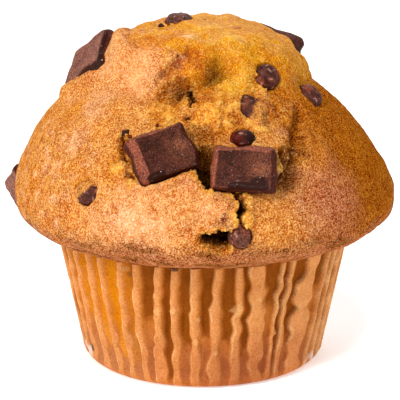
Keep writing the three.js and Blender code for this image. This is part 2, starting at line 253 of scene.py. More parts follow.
# %% Sizes of the cap and the case, in mm
RIM_RADIUS, RIM_HEIGHT, RIM_LOPSIDED = 38.1, 35.2, 0.3
SKIRT_RISE, SKIRT_POWER, SKIRT_POWER_LOPSIDED = 31.2, 1.58, 0.13
CROWN_RADIUS, CROWN_FOOT_HEIGHT, CROWN_RISE, CROWN_POWER = 21.5, 54.0, 15.4, 2.3
CROWN_BLEND = 1.6
LIP_RADIUS, LIP_HEIGHT, UNDERSIDE_POWER = 30.5, 26.4, 3.4
CASE_FLAT_RADIUS, CASE_CORNER_RADIUS, CASE_MOUTH_RADIUS, CASE_HEIGHT = 22.3, 2.65, 29.7, 26.0
CORE_CLEAR, CORE_FLOOR = 2.0, 0.9
HEART = np.array([0.0, 0.0, 36.0])      # the middle from which the crust's relief stands out
print("cap:", 2 * RIM_RADIUS, "mm across; case:", 2 * CASE_MOUTH_RADIUS, "mm across its mouth")

# %% Curves of the outline
def polar(azimuth, radius, height):
    """Points from azimuths in degrees, radii and heights."""
    turn = np.radians(azimuth)
    return np.stack(np.broadcast_arrays(radius * np.sin(turn), -radius * np.cos(turn), height), -1)


def azimuth_of(points):
    """Azimuth of each point in degrees, 0 at the front and growing towards +X."""
    return np.degrees(np.arctan2(points[:, 0], -points[:, 1]))


def rim_radius(azimuth):
    """The rim's radius, a little larger on the right."""
    return RIM_RADIUS + RIM_LOPSIDED * np.sin(np.radians(azimuth))


def skirt_power(azimuth):
    """The skirt's power, a little rounder on the left."""
    return SKIRT_POWER - SKIRT_POWER_LOPSIDED * np.sin(np.radians(azimuth))


def cap_height(azimuth, fraction):
    """Height of the cap's top at a fraction of the rim radius: the greater of skirt and crown."""
    power = skirt_power(azimuth)
    skirt = RIM_HEIGHT + SKIRT_RISE * (1 - fraction**power) ** (1 / power)
    out = np.minimum(fraction * rim_radius(azimuth) / CROWN_RADIUS, 1)
    crown = CROWN_FOOT_HEIGHT + CROWN_RISE * (1 - out * out) ** (1 / CROWN_POWER)
    overlap = np.maximum(CROWN_BLEND - np.abs(skirt - crown), 0)
    joined = np.maximum(skirt, crown) + overlap**2 / (4 * CROWN_BLEND)
    return np.where(out >= 1, skirt, joined)


def underside_radius(azimuth, height):
    """Radius of the overhang between lip and rim."""
    rim = rim_radius(azimuth)
    drop = (RIM_HEIGHT - height) / (RIM_HEIGHT - LIP_HEIGHT)
    return rim - (rim - LIP_RADIUS) * np.clip(drop, 0, 1) ** UNDERSIDE_POWER


def wall_radius(height):
    """Outer radius of the paper case's sloping wall."""
    foot = CASE_FLAT_RADIUS + CASE_CORNER_RADIUS
    up = (height - CASE_CORNER_RADIUS) / (CASE_HEIGHT - CASE_CORNER_RADIUS)
    return foot + (CASE_MOUTH_RADIUS - foot) * up


# %% Places on the outline
def on_crust(azimuth, height):
    """The point of the plain outline at an azimuth and a height."""
    azimuth, height = np.asarray(azimuth, float), np.asarray(height, float)
    power = skirt_power(azimuth)
    up = np.clip((height - RIM_HEIGHT) / SKIRT_RISE, 0, 1)
    skirt = rim_radius(azimuth) * (1 - up**power) ** (1 / power)
    lift = np.clip((height - CROWN_FOOT_HEIGHT) / CROWN_RISE, 0, 1)
    crown = np.where(height > CROWN_FOOT_HEIGHT, CROWN_RADIUS * (1 - lift**CROWN_POWER) ** 0.5, 0)
    below = underside_radius(azimuth, height)
    return polar(azimuth, np.where(height < RIM_HEIGHT, below, np.maximum(skirt, crown)), height)


def outline_point(azimuth, travel):
    """The closed outline. Travel runs 0 to 1 from the crown's middle to the rim, 1 to 2 down the
    underside to the lip, and 2 to 3 inside the case to the middle of its floor."""
    fraction = np.sin(np.clip(travel, 0, 1) * np.pi / 2)
    top = polar(azimuth, fraction * rim_radius(azimuth), cap_height(azimuth, fraction))
    height = RIM_HEIGHT - (RIM_HEIGHT - LIP_HEIGHT) * np.clip(travel - 1, 0, 1)
    under = polar(azimuth, underside_radius(azimuth, height), height)
    stops = [2.0, 2.15, 2.2, 2.6, 2.7, 3.0]
    wall = wall_radius(np.array([CASE_HEIGHT, CASE_HEIGHT, CASE_CORNER_RADIUS])) - CORE_CLEAR
    radii = [LIP_RADIUS, *wall, CASE_FLAT_RADIUS - CORE_CLEAR, 0]
    heights = [LIP_HEIGHT, LIP_HEIGHT, CASE_HEIGHT, CASE_CORNER_RADIUS, CORE_FLOOR, CORE_FLOOR]
    inside = polar(azimuth, np.interp(travel, stops, radii), np.interp(travel, stops, heights))
    travel = travel[..., None]
    return np.where(travel <= 1, top, np.where(travel <= 2, under, inside))


# %% [markdown]
# ## A lattice without a pinch
#
# Rings that all have the same number of points would crowd at the crown's middle. So the middle is a
# square lattice bent into a disc, whose k-th ring has 8k points, and plain rings go on from its edge.
# The columns lie closer together at the front, where the chunks and cracks are.

# %% The muffin's lattice
CORE_SIDE = 156          # quads along one side of the square lattice
COLUMNS = 4 * CORE_SIDE
CORE_REACH = 30.0        # arc length from the crown's middle to the square lattice's edge
CAP_RINGS, UNDER_RINGS, HIDDEN_RINGS = 74, 29, 7
FRONT_CROWDING = 0.4


def bent_square(side):
    """A square lattice bent into a disc: each point's ring and turn, the quads, and the edge's
    points in order of turn. A point's turn grows evenly along its square ring."""
    step = np.arange(side + 1) - side // 2
    x, y = (grid.ravel() for grid in np.meshgrid(step, step, indexing="ij"))
    ring = np.maximum(abs(x), abs(y))
    safe = np.maximum(ring, 1)
    turn = np.where(abs(x) >= abs(y),
                    np.where(x >= 0, y / safe, 4 - y / safe),
                    np.where(y >= 0, 2 - x / safe, -2 + x / safe)) * np.pi / 4
    quads = lattice_faces(side + 1, side + 1, wrap=False)
    edge = np.flatnonzero(ring == side // 2)
    edge = edge[np.argsort(turn[edge] % (2 * np.pi))]
    return ring / (side // 2), turn, quads, edge


core_ring, core_turn, core_quads, core_edge = bent_square(CORE_SIDE)
travel_steps = np.linspace(0, 2, 2001)
front_line = outline_point(0.0, travel_steps)
arc = np.concatenate([[0], np.cumsum(np.linalg.norm(np.diff(front_line, axis=0), axis=1))])
rim_arc, lip_arc = np.interp([1, 2], travel_steps, arc)
ring_arcs = np.concatenate([
    np.linspace(CORE_REACH, rim_arc, CAP_RINGS + 1)[1:],
    np.linspace(rim_arc, lip_arc, UNDER_RINGS + 1)[1:],
])
ring_travel = np.concatenate([np.interp(ring_arcs, arc, travel_steps),
                              np.linspace(2, 3, HIDDEN_RINGS + 2)[1:-1]])
edge_turn = core_turn[core_edge] % (2 * np.pi)
all_turn = np.concatenate([core_turn, np.tile(edge_turn, len(ring_travel)), [0.0]])
core_travel = np.interp(core_ring * CORE_REACH, arc, travel_steps)
all_travel = np.concatenate([core_travel, np.repeat(ring_travel, COLUMNS), [3.0]])
all_azimuth = np.degrees(all_turn - FRONT_CROWDING * np.sin(all_turn))

ring_start = len(core_turn)
first_rows = np.concatenate([core_edge, np.arange(ring_start, ring_start + COLUMNS)])
join_quads = first_rows[lattice_faces(2, COLUMNS)]
ring_quads = lattice_faces(len(ring_travel), COLUMNS) + ring_start
last_ring = ring_start + (len(ring_travel) - 1) * COLUMNS + np.arange(COLUMNS)
muffin_faces = [core_quads[:, ::-1], join_quads[:, ::-1], ring_quads[:, ::-1],
                fan_faces(last_ring, len(all_turn) - 1)[:, ::-1]]
outline = outline_point(all_azimuth, all_travel)
print("lattice points:", len(outline), " arc to the lip:", round(float(lip_arc), 1), "mm")

# %% [markdown]
# ## Lines over the crust
#
# A crease or a crack is a line over the crust with a reach and a depth. Cutting it with a boolean
# would leave long thin faces and hard edges. Here each point's distance to the line says how far the
# point sinks, and noise moves the point before the distance is taken, which tears the edge.

# %% Distances to lines and patches
def crust_line(places, steps=6):
    """A smooth line over the crust through (azimuth, height) places: a Catmull-Rom spline."""
    keys = np.pad(np.array(places, float), ((1, 1), (0, 0)), mode="edge")
    fine = np.linspace(0, len(places) - 1, steps * (len(places) - 1) + 1)
    start = np.minimum(fine.astype(int), len(places) - 2)
    t = (fine - start)[:, None]
    a, b, c, d = (keys[start + k] for k in range(4))
    curve = (2 * b + (c - a) * t + (2 * a - 5 * b + 4 * c - d) * t**2
             + (3 * b - a - 3 * c + d) * t**3) / 2
    return on_crust(*curve.T)


FAR = 99.0


def near_line(points, line, reach):
    """Distance of each point to a line, the place of the nearest spot along it from 0 to 1, and the
    distance to the line's left side as seen from outside (negative on its right). Points that lie
    beyond the reach keep a large distance."""
    distance = np.full(len(points), FAR)
    along = np.zeros(len(points))
    leftward = np.full(len(points), FAR)
    middle = (line.min(0) + line.max(0)) / 2
    radius = np.linalg.norm(line - middle, axis=1).max() + reach
    close = np.flatnonzero(np.linalg.norm(points - middle, axis=1) < radius)
    near = points[close]
    best, where, side = np.full(len(close), FAR), np.zeros(len(close)), np.zeros(len(close))
    for k in range(len(line) - 1):
        a, b = line[k], line[k + 1]
        out = (a + b) / 2 - HEART
        left = np.cross(out, b - a)
        left /= max(np.linalg.norm(left), 1e-9)
        t = np.clip((near - a) @ (b - a) / max((b - a) @ (b - a), 1e-9), 0, 1)
        d = np.linalg.norm(near - a - t[:, None] * (b - a), axis=1)
        where = np.where(d < best, (k + t) / (len(line) - 1), where)
        side = np.where(d < best, (near - a) @ left, side)
        best = np.minimum(best, d)
    distance[close] = best
    along[close] = where
    leftward[close] = np.where(side >= 0, best, -best)
    return distance, along, leftward


def near_place(points, azimuth, height):
    """Distance of each point to one place on the crust."""
    return np.linalg.norm(points - on_crust(azimuth, height), axis=1)


def stray(points, size, seed):
    """A smooth random vector for each point, for moving points before a distance is taken."""
    return np.stack([lumps(points, size, seed + k) for k in range(3)], axis=1)


# %% [markdown]
# ## Chunks and chips: where they sit
#
# A chunk's place is given in its own frame: its outer face is at height zero, and its sides slope
# out for the first millimetre or so. The crumb needs these frames too, because it opens a pocket
# under each chunk and creeps up its sides.

# %% Frames of the chunks and chips
CHUNK_SLOPE_DEPTH, CHUNK_CORNER_RADIUS = 1.5, 0.9
CHUNKS = {
    # name: (azimuth, height), how proud, (faces azimuth, elevation), roll, (width, length, thick)
    "chunk_front_left": ((-12.6, 48.2), 2.2, (12, 24), 17, (12.0, 9.0, 5.4)),
    "chunk_front_right": ((12.8, 45.6), 2.6, (-2, 26), -2, (11.5, 8.4, 5.4)),
    "chunk_upper_left": ((-82.4, 58.8), 3.3, (-65, 35), 34, (10.9, 11.1, 5.4)),
    "chunk_upper_right": ((128, 62.4), 1.2, (148, 51), 33, (12.0, 10.5, 5.4)),
    "chunk_left_edge": ((-98.5, 32.6), 1.8, (-55, -16), 33, (11.0, 8.4, 5.4)),
    "chunk_back_left": ((-152, 49.5), 2.0, (-149, 33), 20, (12.0, 10.4, 5.4)),
    "chunk_back_right": ((156, 42.5), 2.0, (161, 20), -14, (12.2, 10.8, 5.4)),
    "chunk_back_top": ((-168, 62.5), 1.8, (-165, 50), 38, (11.0, 10.0, 5.2)),
}
CHIPS = {
    # name: (azimuth, height), how proud, radius, depth
    "chip_crown": ((37, 59.8), 1.7, 2.7, 2.2),
    "chip_torn": ((22, 54.8), 1.1, 2.6, 2.0),
    "chip_shoulder": ((63.5, 55.2), 1.7, 2.4, 2.5),
    "chip_left": ((-36, 40.6), 0.8, 2.4, 2.0),
    "chip_low": ((10.4, 34.2), 0.4, 2.3, 1.9),
    "chip_melted": ((14.4, 50.6), 1.2, 2.0, 1.7),
    "chip_top": ((-66, 69.0), 1.0, 2.9, 1.8),
    "chip_right_side": ((118, 46.0), 1.0, 2.5, 2.0),
    "chip_left_side": ((-118, 49.5), 1.2, 2.5, 2.0),
    "chip_back_high": ((172, 55.0), 1.2, 2.6, 2.1),
    "chip_back_low": ((-168, 38.5), 0.9, 2.4, 2.0),
    "chip_back_side": ((124, 37.0), 0.8, 2.4, 2.0),
}


def face_axes(azimuth, elevation, roll=0):
    """Right, up and outward unit vectors of something that faces a direction, as rows."""
    level, turn = np.radians(elevation), np.radians(roll)
    out = polar(azimuth, np.cos(level), np.sin(level))
    right = polar(azimuth + 90, 1, 0)
    up = np.cross(out, right)
    return np.array([np.cos(turn) * right + np.sin(turn) * up,
                     np.cos(turn) * up - np.sin(turn) * right, out])


def crust_elevation(azimuth, height):
    """How far above level the plain crust faces, from its radius half a millimetre up and down."""
    step = 0.5
    radii = [np.hypot(*on_crust(azimuth, height + k * step)[:2]) for k in (-1, 1)]
    return np.degrees(np.arctan((radii[0] - radii[1]) / (2 * step)))


def chunk_frame(name):
    """The middle of a chunk's outer face, its axes and its half sizes."""
    (azimuth, height), proud, faces, roll, size = CHUNKS[name]
    axes = face_axes(*faces, roll)
    return on_crust(azimuth, height) + proud * axes[2], axes, np.array(size) / 2


def chip_frame(name):
    """A chip's top, its axes, its radius and its depth."""
    (azimuth, height), proud, radius, depth = CHIPS[name]
    axes = face_axes(azimuth, crust_elevation(azimuth, height))
    return on_crust(azimuth, height) + proud * axes[2], axes, radius, depth


def to_local(points, spot, axes):
    """Points in a chunk's or chip's own frame."""
    return (points - spot) @ axes.T


def outside_footprint(local, half):
    """Distance outside a chunk's rounded outline, seen along its own axis; inside it is negative."""
    over = np.abs(local[:, :2]) - (half[:2] - CHUNK_CORNER_RADIUS)
    beyond_corner = np.linalg.norm(np.maximum(over, 0), axis=1)
    return beyond_corner + np.minimum(over.max(1), 0) - CHUNK_CORNER_RADIUS


print("chunks:", len(CHUNKS), " chips:", len(CHIPS))

# %% [markdown]
# ## The muffin's relief
#
# The relief is laid on in the order in which baking makes it. First come the broad swellings and
# creases of the rising batter, then the soft lumps of the skin, then the cracks that tear it open,
# and last the grain. Torn crumb gets packed lumps, while baked skin gets only a fine grain.

# %% Swellings and creases
SWELLINGS = [
    # (azimuth, height), reach, rise
    ((-58, 62.5), 11.0, 2.2),    # upper left lobe
    ((-84, 57.0), 5.0, -1.2),    # ledge that carries a chunk
    ((-68, 64.6), 4.8, 1.4),     # knob at the lobe's end
    ((84, 57.5), 7.0, 0.4),      # right shoulder of the crown
    ((-14, 38.5), 9.0, 1.0),     # bulge under the front chunks
    ((1.5, 54.8), 4.2, 1.7),     # open crumb over the front chunks
    ((12, 55.0), 4.0, 0.8),
    ((38, 46.5), 7.0, 0.9),      # ridge right of the crease
    ((-12, 66.4), 3.0, 0.9),     # lumps of the moist crown
    ((1, 65.0), 2.6, 0.8),
    ((-5, 61.6), 2.6, 0.7),
    ((20, 65.5), 3.8, 1.0),
    ((18, 62.0), 2.6, -0.5),
    ((34, 62.4), 2.6, -0.6),
    ((42, 66.0), 3.6, 0.8),
    ((51, 61.4), 4.4, 1.0),
    ((47, 57.0), 3.0, 0.7),
    ((24, 60.4), 3.0, 0.8),
    ((13, 57.6), 2.4, 0.6),
    ((1.5, 50.0), 3.0, -1.3),    # hollow between the front chunks
    ((-14.0, 57.6), 3.4, -1.9),  # cavity under the flap
    ((-9.5, 58.0), 2.8, -1.6),
    ((-20, 55.6), 2.6, 0.5),
    ((88, 67.0), 7.0, -1.0),     # flatter right side of the crown
    ((-64, 60.6), 2.8, -1.1),    # hollow beside the chunk on the ledge
    ((84, 60.2), 3.6, -1.2),     # notch over the right shoulder, and lumps on it
    ((84, 54.5), 2.6, 0.5),
    ((88, 51.0), 2.4, 0.5),
    ((150, 56.0), 8.0, 1.2),     # swellings of the back
    ((-155, 44.0), 9.0, 0.9),
    ((110, 44.0), 9.0, 0.5),
    ((45, 69.4), 15.0, -0.6),    # flatter top
]
CREASES = [
    # places, reach, depth
    # the crown's valley, and the long crease right of the chunks
    ([(16, 62.8), (11.4, 62.3), (7.2, 61.4), (3.5, 60.4), (0, 59.4)], 2.6, 2.3),
    ([(46, 53.6), (40.8, 51.8), (36.2, 50.2), (33.6, 48.4), (30.6, 46.6), (27, 44.6), (23.5, 42)],
     2.0, 1.9),
    # foot of the crown at the right, the upper left lobe, and behind the right shoulder
    ([(62, 59), (66, 56.5), (60, 53)], 2.0, 0.6),
    ([(-66, 65.9), (-57, 64.9), (-48, 64.2), (-39, 63.9)], 1.8, 0.7),
    ([(76, 60), (79, 57.5)], 1.6, 0.9),
    # a low swelling over the front rim, and the back's crease
    ([(-20, 35.2), (-7, 36.6), (4, 37.6)], 1.8, -0.3),
    ([(172, 62), (160, 52), (150, 46)], 3.2, 1.8),
]
# The lower edge of the upper left lobe, which lies over the open crumb like a flap
FLAP = [(-29, 56.2), (-26, 57.4), (-24.4, 58.8), (-21.6, 60.2), (-21, 61.6), (-18.8, 62.8),
        (-16.2, 63.8), (-21.5, 64.1), (-27.4, 64.1), (-33, 63.7), (-38, 63.3), (-43, 63.2),
        (-48.5, 63.5), (-56, 64.2), (-64, 64.8), (-80, 66.4)]
STEPS = [
    # places, rise of the crust on the left of the line, reach of the rise
    (FLAP, 1.15, 6.0),
    ([(-50, 53), (-40.5, 54), (-33, 55), (-29, 56.2)], 0.45, 4.5),
    ([(42, 51.6), (37, 48.6), (33.6, 46.2), (29.8, 43.6), (25.5, 41.0)], 0.7, 3.0),
    ([(2, 41.0), (-4, 39.4), (-13, 37.6)], 0.22, 5.0),
]
CRACKS = [
    # places, half width, depth, raggedness
    # under the flap, and between the front chunks
    ([(-8.0, 58.0), (-5.6, 57.4), (-4.9, 56.2), (-5.4, 55.4)], 0.7, 4.2, 0.7),
    ([(-6.6, 54.1), (-6.6, 53.6)], 0.35, 2.6, 0.3),
    ([(0.9, 49.0), (1.0, 46.4), (1.4, 43.6)], 1.9, 3.8, 0.4),
    # from under the front right chunk down to the low chip, and the hole beside that chip
    ([(8.0, 42.2), (11.6, 42.0)], 0.6, 2.0, 0.7),
    ([(9.4, 42.4), (10.8, 40.8), (11.2, 39.4), (10.2, 38.2), (10.6, 36.9), (10.4, 35.3)],
     0.72, 4.2, 1.0),
    ([(0.6, 34.2), (4.2, 33.6), (8.2, 34.0)], 1.9, 4.6, 0.9),
    # left of the front left chunk, right of the front right one, and at the back
    ([(-29.0, 50.4), (-27.0, 48.2), (-24.8, 46.4)], 0.8, 1.6, 0.7),
    ([(-22.4, 44.6), (-20.6, 43.4)], 0.55, 1.8, 0.7),
    ([(27.4, 48.2), (26.6, 46.4), (24.6, 43.6)], 0.9, 1.6, 0.8),
    ([(176, 56), (168, 50), (161, 46)], 0.8, 4.5, 1.0),
]
LIPS = [
    # places, reach, rise: crumb that stands up beside a crack or a chunk
    ([(-20.5, 42.4), (-15.7, 42.8), (-11, 43.6), (-6.5, 44.4), (-3.0, 44.9)], 1.7, 1.6),
    ([(-2.6, 41.6), (1.0, 41.4), (4.5, 41.0), (7.6, 40.2)], 1.5, 1.1),
    ([(8.3, 40.6), (8.8, 38.4), (8.2, 36.6)], 1.3, 0.7),
    ([(13.4, 40.9), (12.6, 38.6), (12.6, 37.0)], 1.4, 0.7),
    ([(-83.2, 57.0), (-78.5, 58.2), (-71.3, 59.5)], 2.0, 1.6),
]
print("swellings:", len(SWELLINGS), " creases:", len(CREASES), " steps:", len(STEPS),
      " cracks:", len(CRACKS), " lips:", len(LIPS))

# %% Broad relief
def step_rise(points, places, rise, reach):
    """Crust that stands up on the left of a line: full height just beside it, falling away over the
    reach, and nothing on its right."""
    distance, along, leftward = near_line(points, crust_line(places), reach)
    ends = np.clip(5 * along, 0, 1) * np.clip(5 * (1 - along), 0, 1)
    return rise * smooth_step(-0.35, 0.3, leftward) * fall(distance, reach) * ends


def broad_relief(points, torn_points):
    """Height of the swellings and steps less the depth of the creases."""
    total = sum(rise * fall(near_place(points, *place), reach)
                for place, reach, rise in SWELLINGS)
    for places, reach, depth in CREASES:
        distance, _, _ = near_line(points, crust_line(places), reach)
        total -= depth * fall(distance, reach)
    for places, rise, reach in STEPS:
        total += step_rise(torn_points, places, rise, reach)
    return total


cap = smooth_step(2.02, 1.98, all_travel)      # 1 over the crust and 0 inside the case
outward = outline - HEART
outward /= np.linalg.norm(outward, axis=1, keepdims=True)
ragged = outline + 0.55 * stray(outline, 1.9, 60) + 0.3 * stray(outline, 1.0, 70)
broad = broad_relief(outline, ragged)
swollen = outline + (broad * cap)[:, None] * outward
normals = vertex_normals(swollen, muffin_faces)
print("swellings from", round(float(broad.min()), 2), "to", round(float(broad.max()), 2),
      "mm; faces point", "out" if np.sum(normals * outward) > 0 else "in")

# %% Where the crumb is torn
TORN = [
    # (azimuth, height), reach
    ((4, 54.8), 7.0),
    ((-12, 57.5), 5.0),
    ((-15, 54.2), 4.6),
    ((20, 53.5), 5.0),
    ((31, 54.0), 4.6),
    ((30, 58.0), 3.5),
    ((29, 47.0), 3.6),
    ((2, 47.0), 5.0),
    ((-26, 46.5), 3.0),
    ((-20, 62.5), 2.6),
    ((-37.0, 41.4), 3.0),
]
FLAP_REACH = 12.0      # how far up from its lower edge the flap covers the torn crumb

strayed = outline + 1.1 * stray(outline, 4.0, 40) + 0.5 * stray(outline, 1.6, 50)
torn = np.zeros(len(outline))
for place, reach in TORN:
    torn = np.maximum(torn, smooth_step(1.0, 0.6, near_place(strayed, *place) / reach))

crack_depth = np.zeros(len(outline))
crack_edge = np.full(len(outline), FAR)
for places, half_width, depth, raggedness in CRACKS:
    moved = outline + raggedness * (ragged - outline)
    distance, along, _ = near_line(moved, crust_line(places), 6.0)
    width = half_width * (0.35 + 0.65 * np.sin(np.pi * np.clip(along, 0.04, 0.96)) ** 0.5)
    crack_depth = np.maximum(crack_depth, depth * smooth_step(0.3, -0.6, distance - width))
    crack_edge = np.minimum(crack_edge, distance - width)
torn = np.maximum(torn, smooth_step(1.5, 0.2, crack_edge))
flap_distance, _, flap_side = near_line(ragged, crust_line(FLAP), FLAP_REACH)
on_flap = smooth_step(-0.25, 0.25, flap_side) * (flap_distance < FLAP_REACH)
print("torn crumb covers", round(100 * float(torn.mean()), 1), "% of the lattice")

# %% Lumps, cracks and grain
CAVITY, CAVITY_REACH = (-13.0, 57.8), 3.0      # under the flap, where the crumb is smoother
azimuth = azimuth_of(outline)
height = outline[:, 2]
crown_area = (smooth_step(57.0, 61.5, height + 3 * np.cos(np.radians(azimuth - 45)))
              * (1 - on_flap * smooth_step(70, 0, np.abs(azimuth + 20))))
soft = 0.36 * lumps(outline, 10.0, 1) + 0.22 * lumps(outline, 4.2, 2)
soft += crown_area * (0.46 * lumps(outline, 4.6, 12) + 0.3 * lumps(outline, 2.1, 13))
nearest = grains(outline + 0.3 * stray(outline, 1.2, 80), 1.7, 3)
fine_nearest = grains(outline, 0.9, 4)
crumb = 0.9 * (0.62 - nearest) + 0.3 * (0.6 - fine_nearest) + 0.7 * lumps(outline, 2.8, 14)
felt = lumps(outline + 0.25 * stray(outline, 1.3, 85), 0.95, 5)
skin = 0.085 * felt + 0.05 * lumps(outline, 1.9, 6)
lip = np.zeros(len(outline))
for places, reach, rise in LIPS:
    distance, _, _ = near_line(ragged, crust_line(places), reach)
    lip = np.maximum(lip, rise * fall(distance, reach))
in_cavity = fall(near_place(outline, *CAVITY), CAVITY_REACH)
crumb_share = torn * smooth_step(2.2, 0.6, crack_depth) * (1 - 0.55 * in_cavity)
height_map = soft + skin * (1 - 0.6 * torn) + crumb * crumb_share + lip - crack_depth
surface = swollen + (height_map * cap)[:, None] * normals

print("relief from", round(float(height_map.min()), 2), "to", round(float(height_map.max()), 2), "mm")

# %% Beds for the chunks and chips
CHUNK_BED = 3.0      # how far below a chunk's face the crumb lies under it
CHIP_BED = 0.6       # how far below a chip's underside the crumb lies
CREPT_UP = {"chunk_upper_left": 1.5}      # how far crust crept up over a chunk's lower edge
CREPT_LEVEL = 0.5                         # and how high it stands over the chunk's face


def bed_chunk(points, name):
    """Presses the points inside a chunk's outline down to its bed. Where crust crept over the lower
    edge, the bed starts higher up, and the points beside that edge are lifted over the face."""
    spot, axes, half = chunk_frame(name)
    local = to_local(points, spot, axes)
    right, up, out = local.T
    over = outside_footprint(local + 0.15 * stray(points, 1.2, 90), half)
    crept = CREPT_UP.get(name, 0.0) - half[1] + 0.4 * lumps(points, 2.0, 91)
    over = np.maximum(over, crept - up)
    close = (out > -2 * half[2]) * cap
    move = (np.minimum(out, -CHUNK_BED) - out) * smooth_step(0.5, -0.2, over) * close
    if name in CREPT_UP:
        beside = smooth_step(half[0] + 1.2, half[0] - 1.0, np.abs(right)) * close
        below = smooth_step(-half[1] - 3.4, -half[1] - 0.2, up) * smooth_step(-0.1, 0.4, over)
        lift = np.maximum(CREPT_LEVEL - out, 0) * (out > -4.5) * (up < 0)
        move += lift * beside * below
    return points + move[:, None] * axes[2]


def bed_chip(points, name):
    """Presses the points under a chip down to its bed."""
    spot, axes, radius, depth = chip_frame(name)
    local = to_local(points, spot, axes)
    across = np.linalg.norm(local[:, :2] + 0.2 * stray(points, 1.1, 95)[:, :2], axis=1)
    sunk = np.minimum(local[:, 2], -depth - CHIP_BED) - local[:, 2]
    inside = smooth_step(radius + 0.15, radius - 0.45, across) * (local[:, 2] > -3 * depth) * cap
    return points + (sunk * inside)[:, None] * axes[2]


for name in CHUNKS:
    surface = bed_chunk(surface, name)
for name in CHIPS:
    surface = bed_chip(surface, name)
surface_normals = vertex_normals(surface, muffin_faces)
print("beds:", len(CHUNKS) + len(CHIPS))

# %% [markdown]
# ## Materials
#
# One crust holds many colours: pale moist crown, golden skirt, brown right side, russet burnt spots.
# A separate material for each would show seams. So each piece carries its own colour at every point,
# worked out with the same distances as its shape, and the material adds what is finer than the
# lattice: grain in the colour, the bump and the gloss.

# %% Node helpers
def tone(red, green, blue):
    """A colour given as a screen shows it, 0 to 255, as the linear numbers that light needs."""
    part = np.array([red, green, blue]) / 255
    return np.where(part <= 0.04045, part / 12.92, ((part + 0.055) / 1.055) ** 2.4)


def add_node(tree, kind, inputs=None, **settings):
    """Adds a node; an input is a number, a colour or another node's output."""
    node = tree.nodes.new(kind)
    for key, value in settings.items():
        setattr(node, key, value)
    for key, value in (inputs or {}).items():
        if isinstance(value, bpy.types.NodeSocket):
            tree.links.new(value, node.inputs[key])
        else:
            node.inputs[key].default_value = value
    return node


def new_material(name):
    """An empty Principled material, its node tree, its shader and its object coordinates."""
    material = bpy.data.materials.new(name)
    material.use_nodes = True
    tree = material.node_tree
    place = add_node(tree, "ShaderNodeTexCoord").outputs["Object"]
    return material, tree, tree.nodes["Principled BSDF"], place


def noise(tree, place, size, detail=2.0, roughness=0.6, distortion=0.0):
    """Noise whose lumps are about `size` mm apart."""
    inputs = {"Vector": place, "Scale": 1 / (size * MM), "Detail": detail,
              "Roughness": roughness, "Distortion": distortion}
    return add_node(tree, "ShaderNodeTexNoise", inputs).outputs["Fac"]


def remap(tree, value, low, high, to_low=0.0, to_high=1.0):
    """Stretches a range of values to another one and clamps it."""
    inputs = {"Value": value, "From Min": low, "From Max": high,
              "To Min": to_low, "To Max": to_high}
    return add_node(tree, "ShaderNodeMapRange", inputs).outputs["Result"]


def math_node(tree, operation, *values):
    """One step of arithmetic on numbers or outputs."""
    node = add_node(tree, "ShaderNodeMath", operation=operation)
    for socket, value in zip(node.inputs, values):
        if isinstance(value, bpy.types.NodeSocket):
            tree.links.new(value, socket)
        else:
            socket.default_value = value
    return node.outputs[0]


def mix(tree, factor, a, b, blend_type="MIX"):
    """Mixes two colours, either of which may be a plain one or an output."""
    node = add_node(tree, "ShaderNodeMix", data_type="RGBA", blend_type=blend_type)
    for socket, value in zip((node.inputs[0], node.inputs[6], node.inputs[7]), (factor, a, b)):
        if isinstance(value, bpy.types.NodeSocket):
            tree.links.new(value, socket)
        else:
            socket.default_value = value if np.isscalar(value) else (*value, 1.0)
    return node.outputs[2]


def tint(tree, colour, factors):
    """A colour with its red, green and blue multiplied by a factor each."""
    return mix(tree, 1.0, colour, factors, "MULTIPLY")


def gamma(tree, colour, power):
    """A colour raised to a power: above 1 it gets deeper and below 1 paler, and its hue stays."""
    return add_node(tree, "ShaderNodeGamma", {"Color": colour, "Gamma": power}).outputs[0]


def attribute(tree, name, output="Color"):
    """A value that the mesh carries at each point."""
    return add_node(tree, "ShaderNodeAttribute", attribute_name=name).outputs[output]


def bump(tree, height, depth, after=None):
    """A bump `depth` mm deep, laid over another one if given."""
    inputs = {"Height": height, "Strength": 1.0, "Distance": depth * MM}
    if after is not None:
        inputs["Normal"] = after
    return add_node(tree, "ShaderNodeBump", inputs).outputs["Normal"]
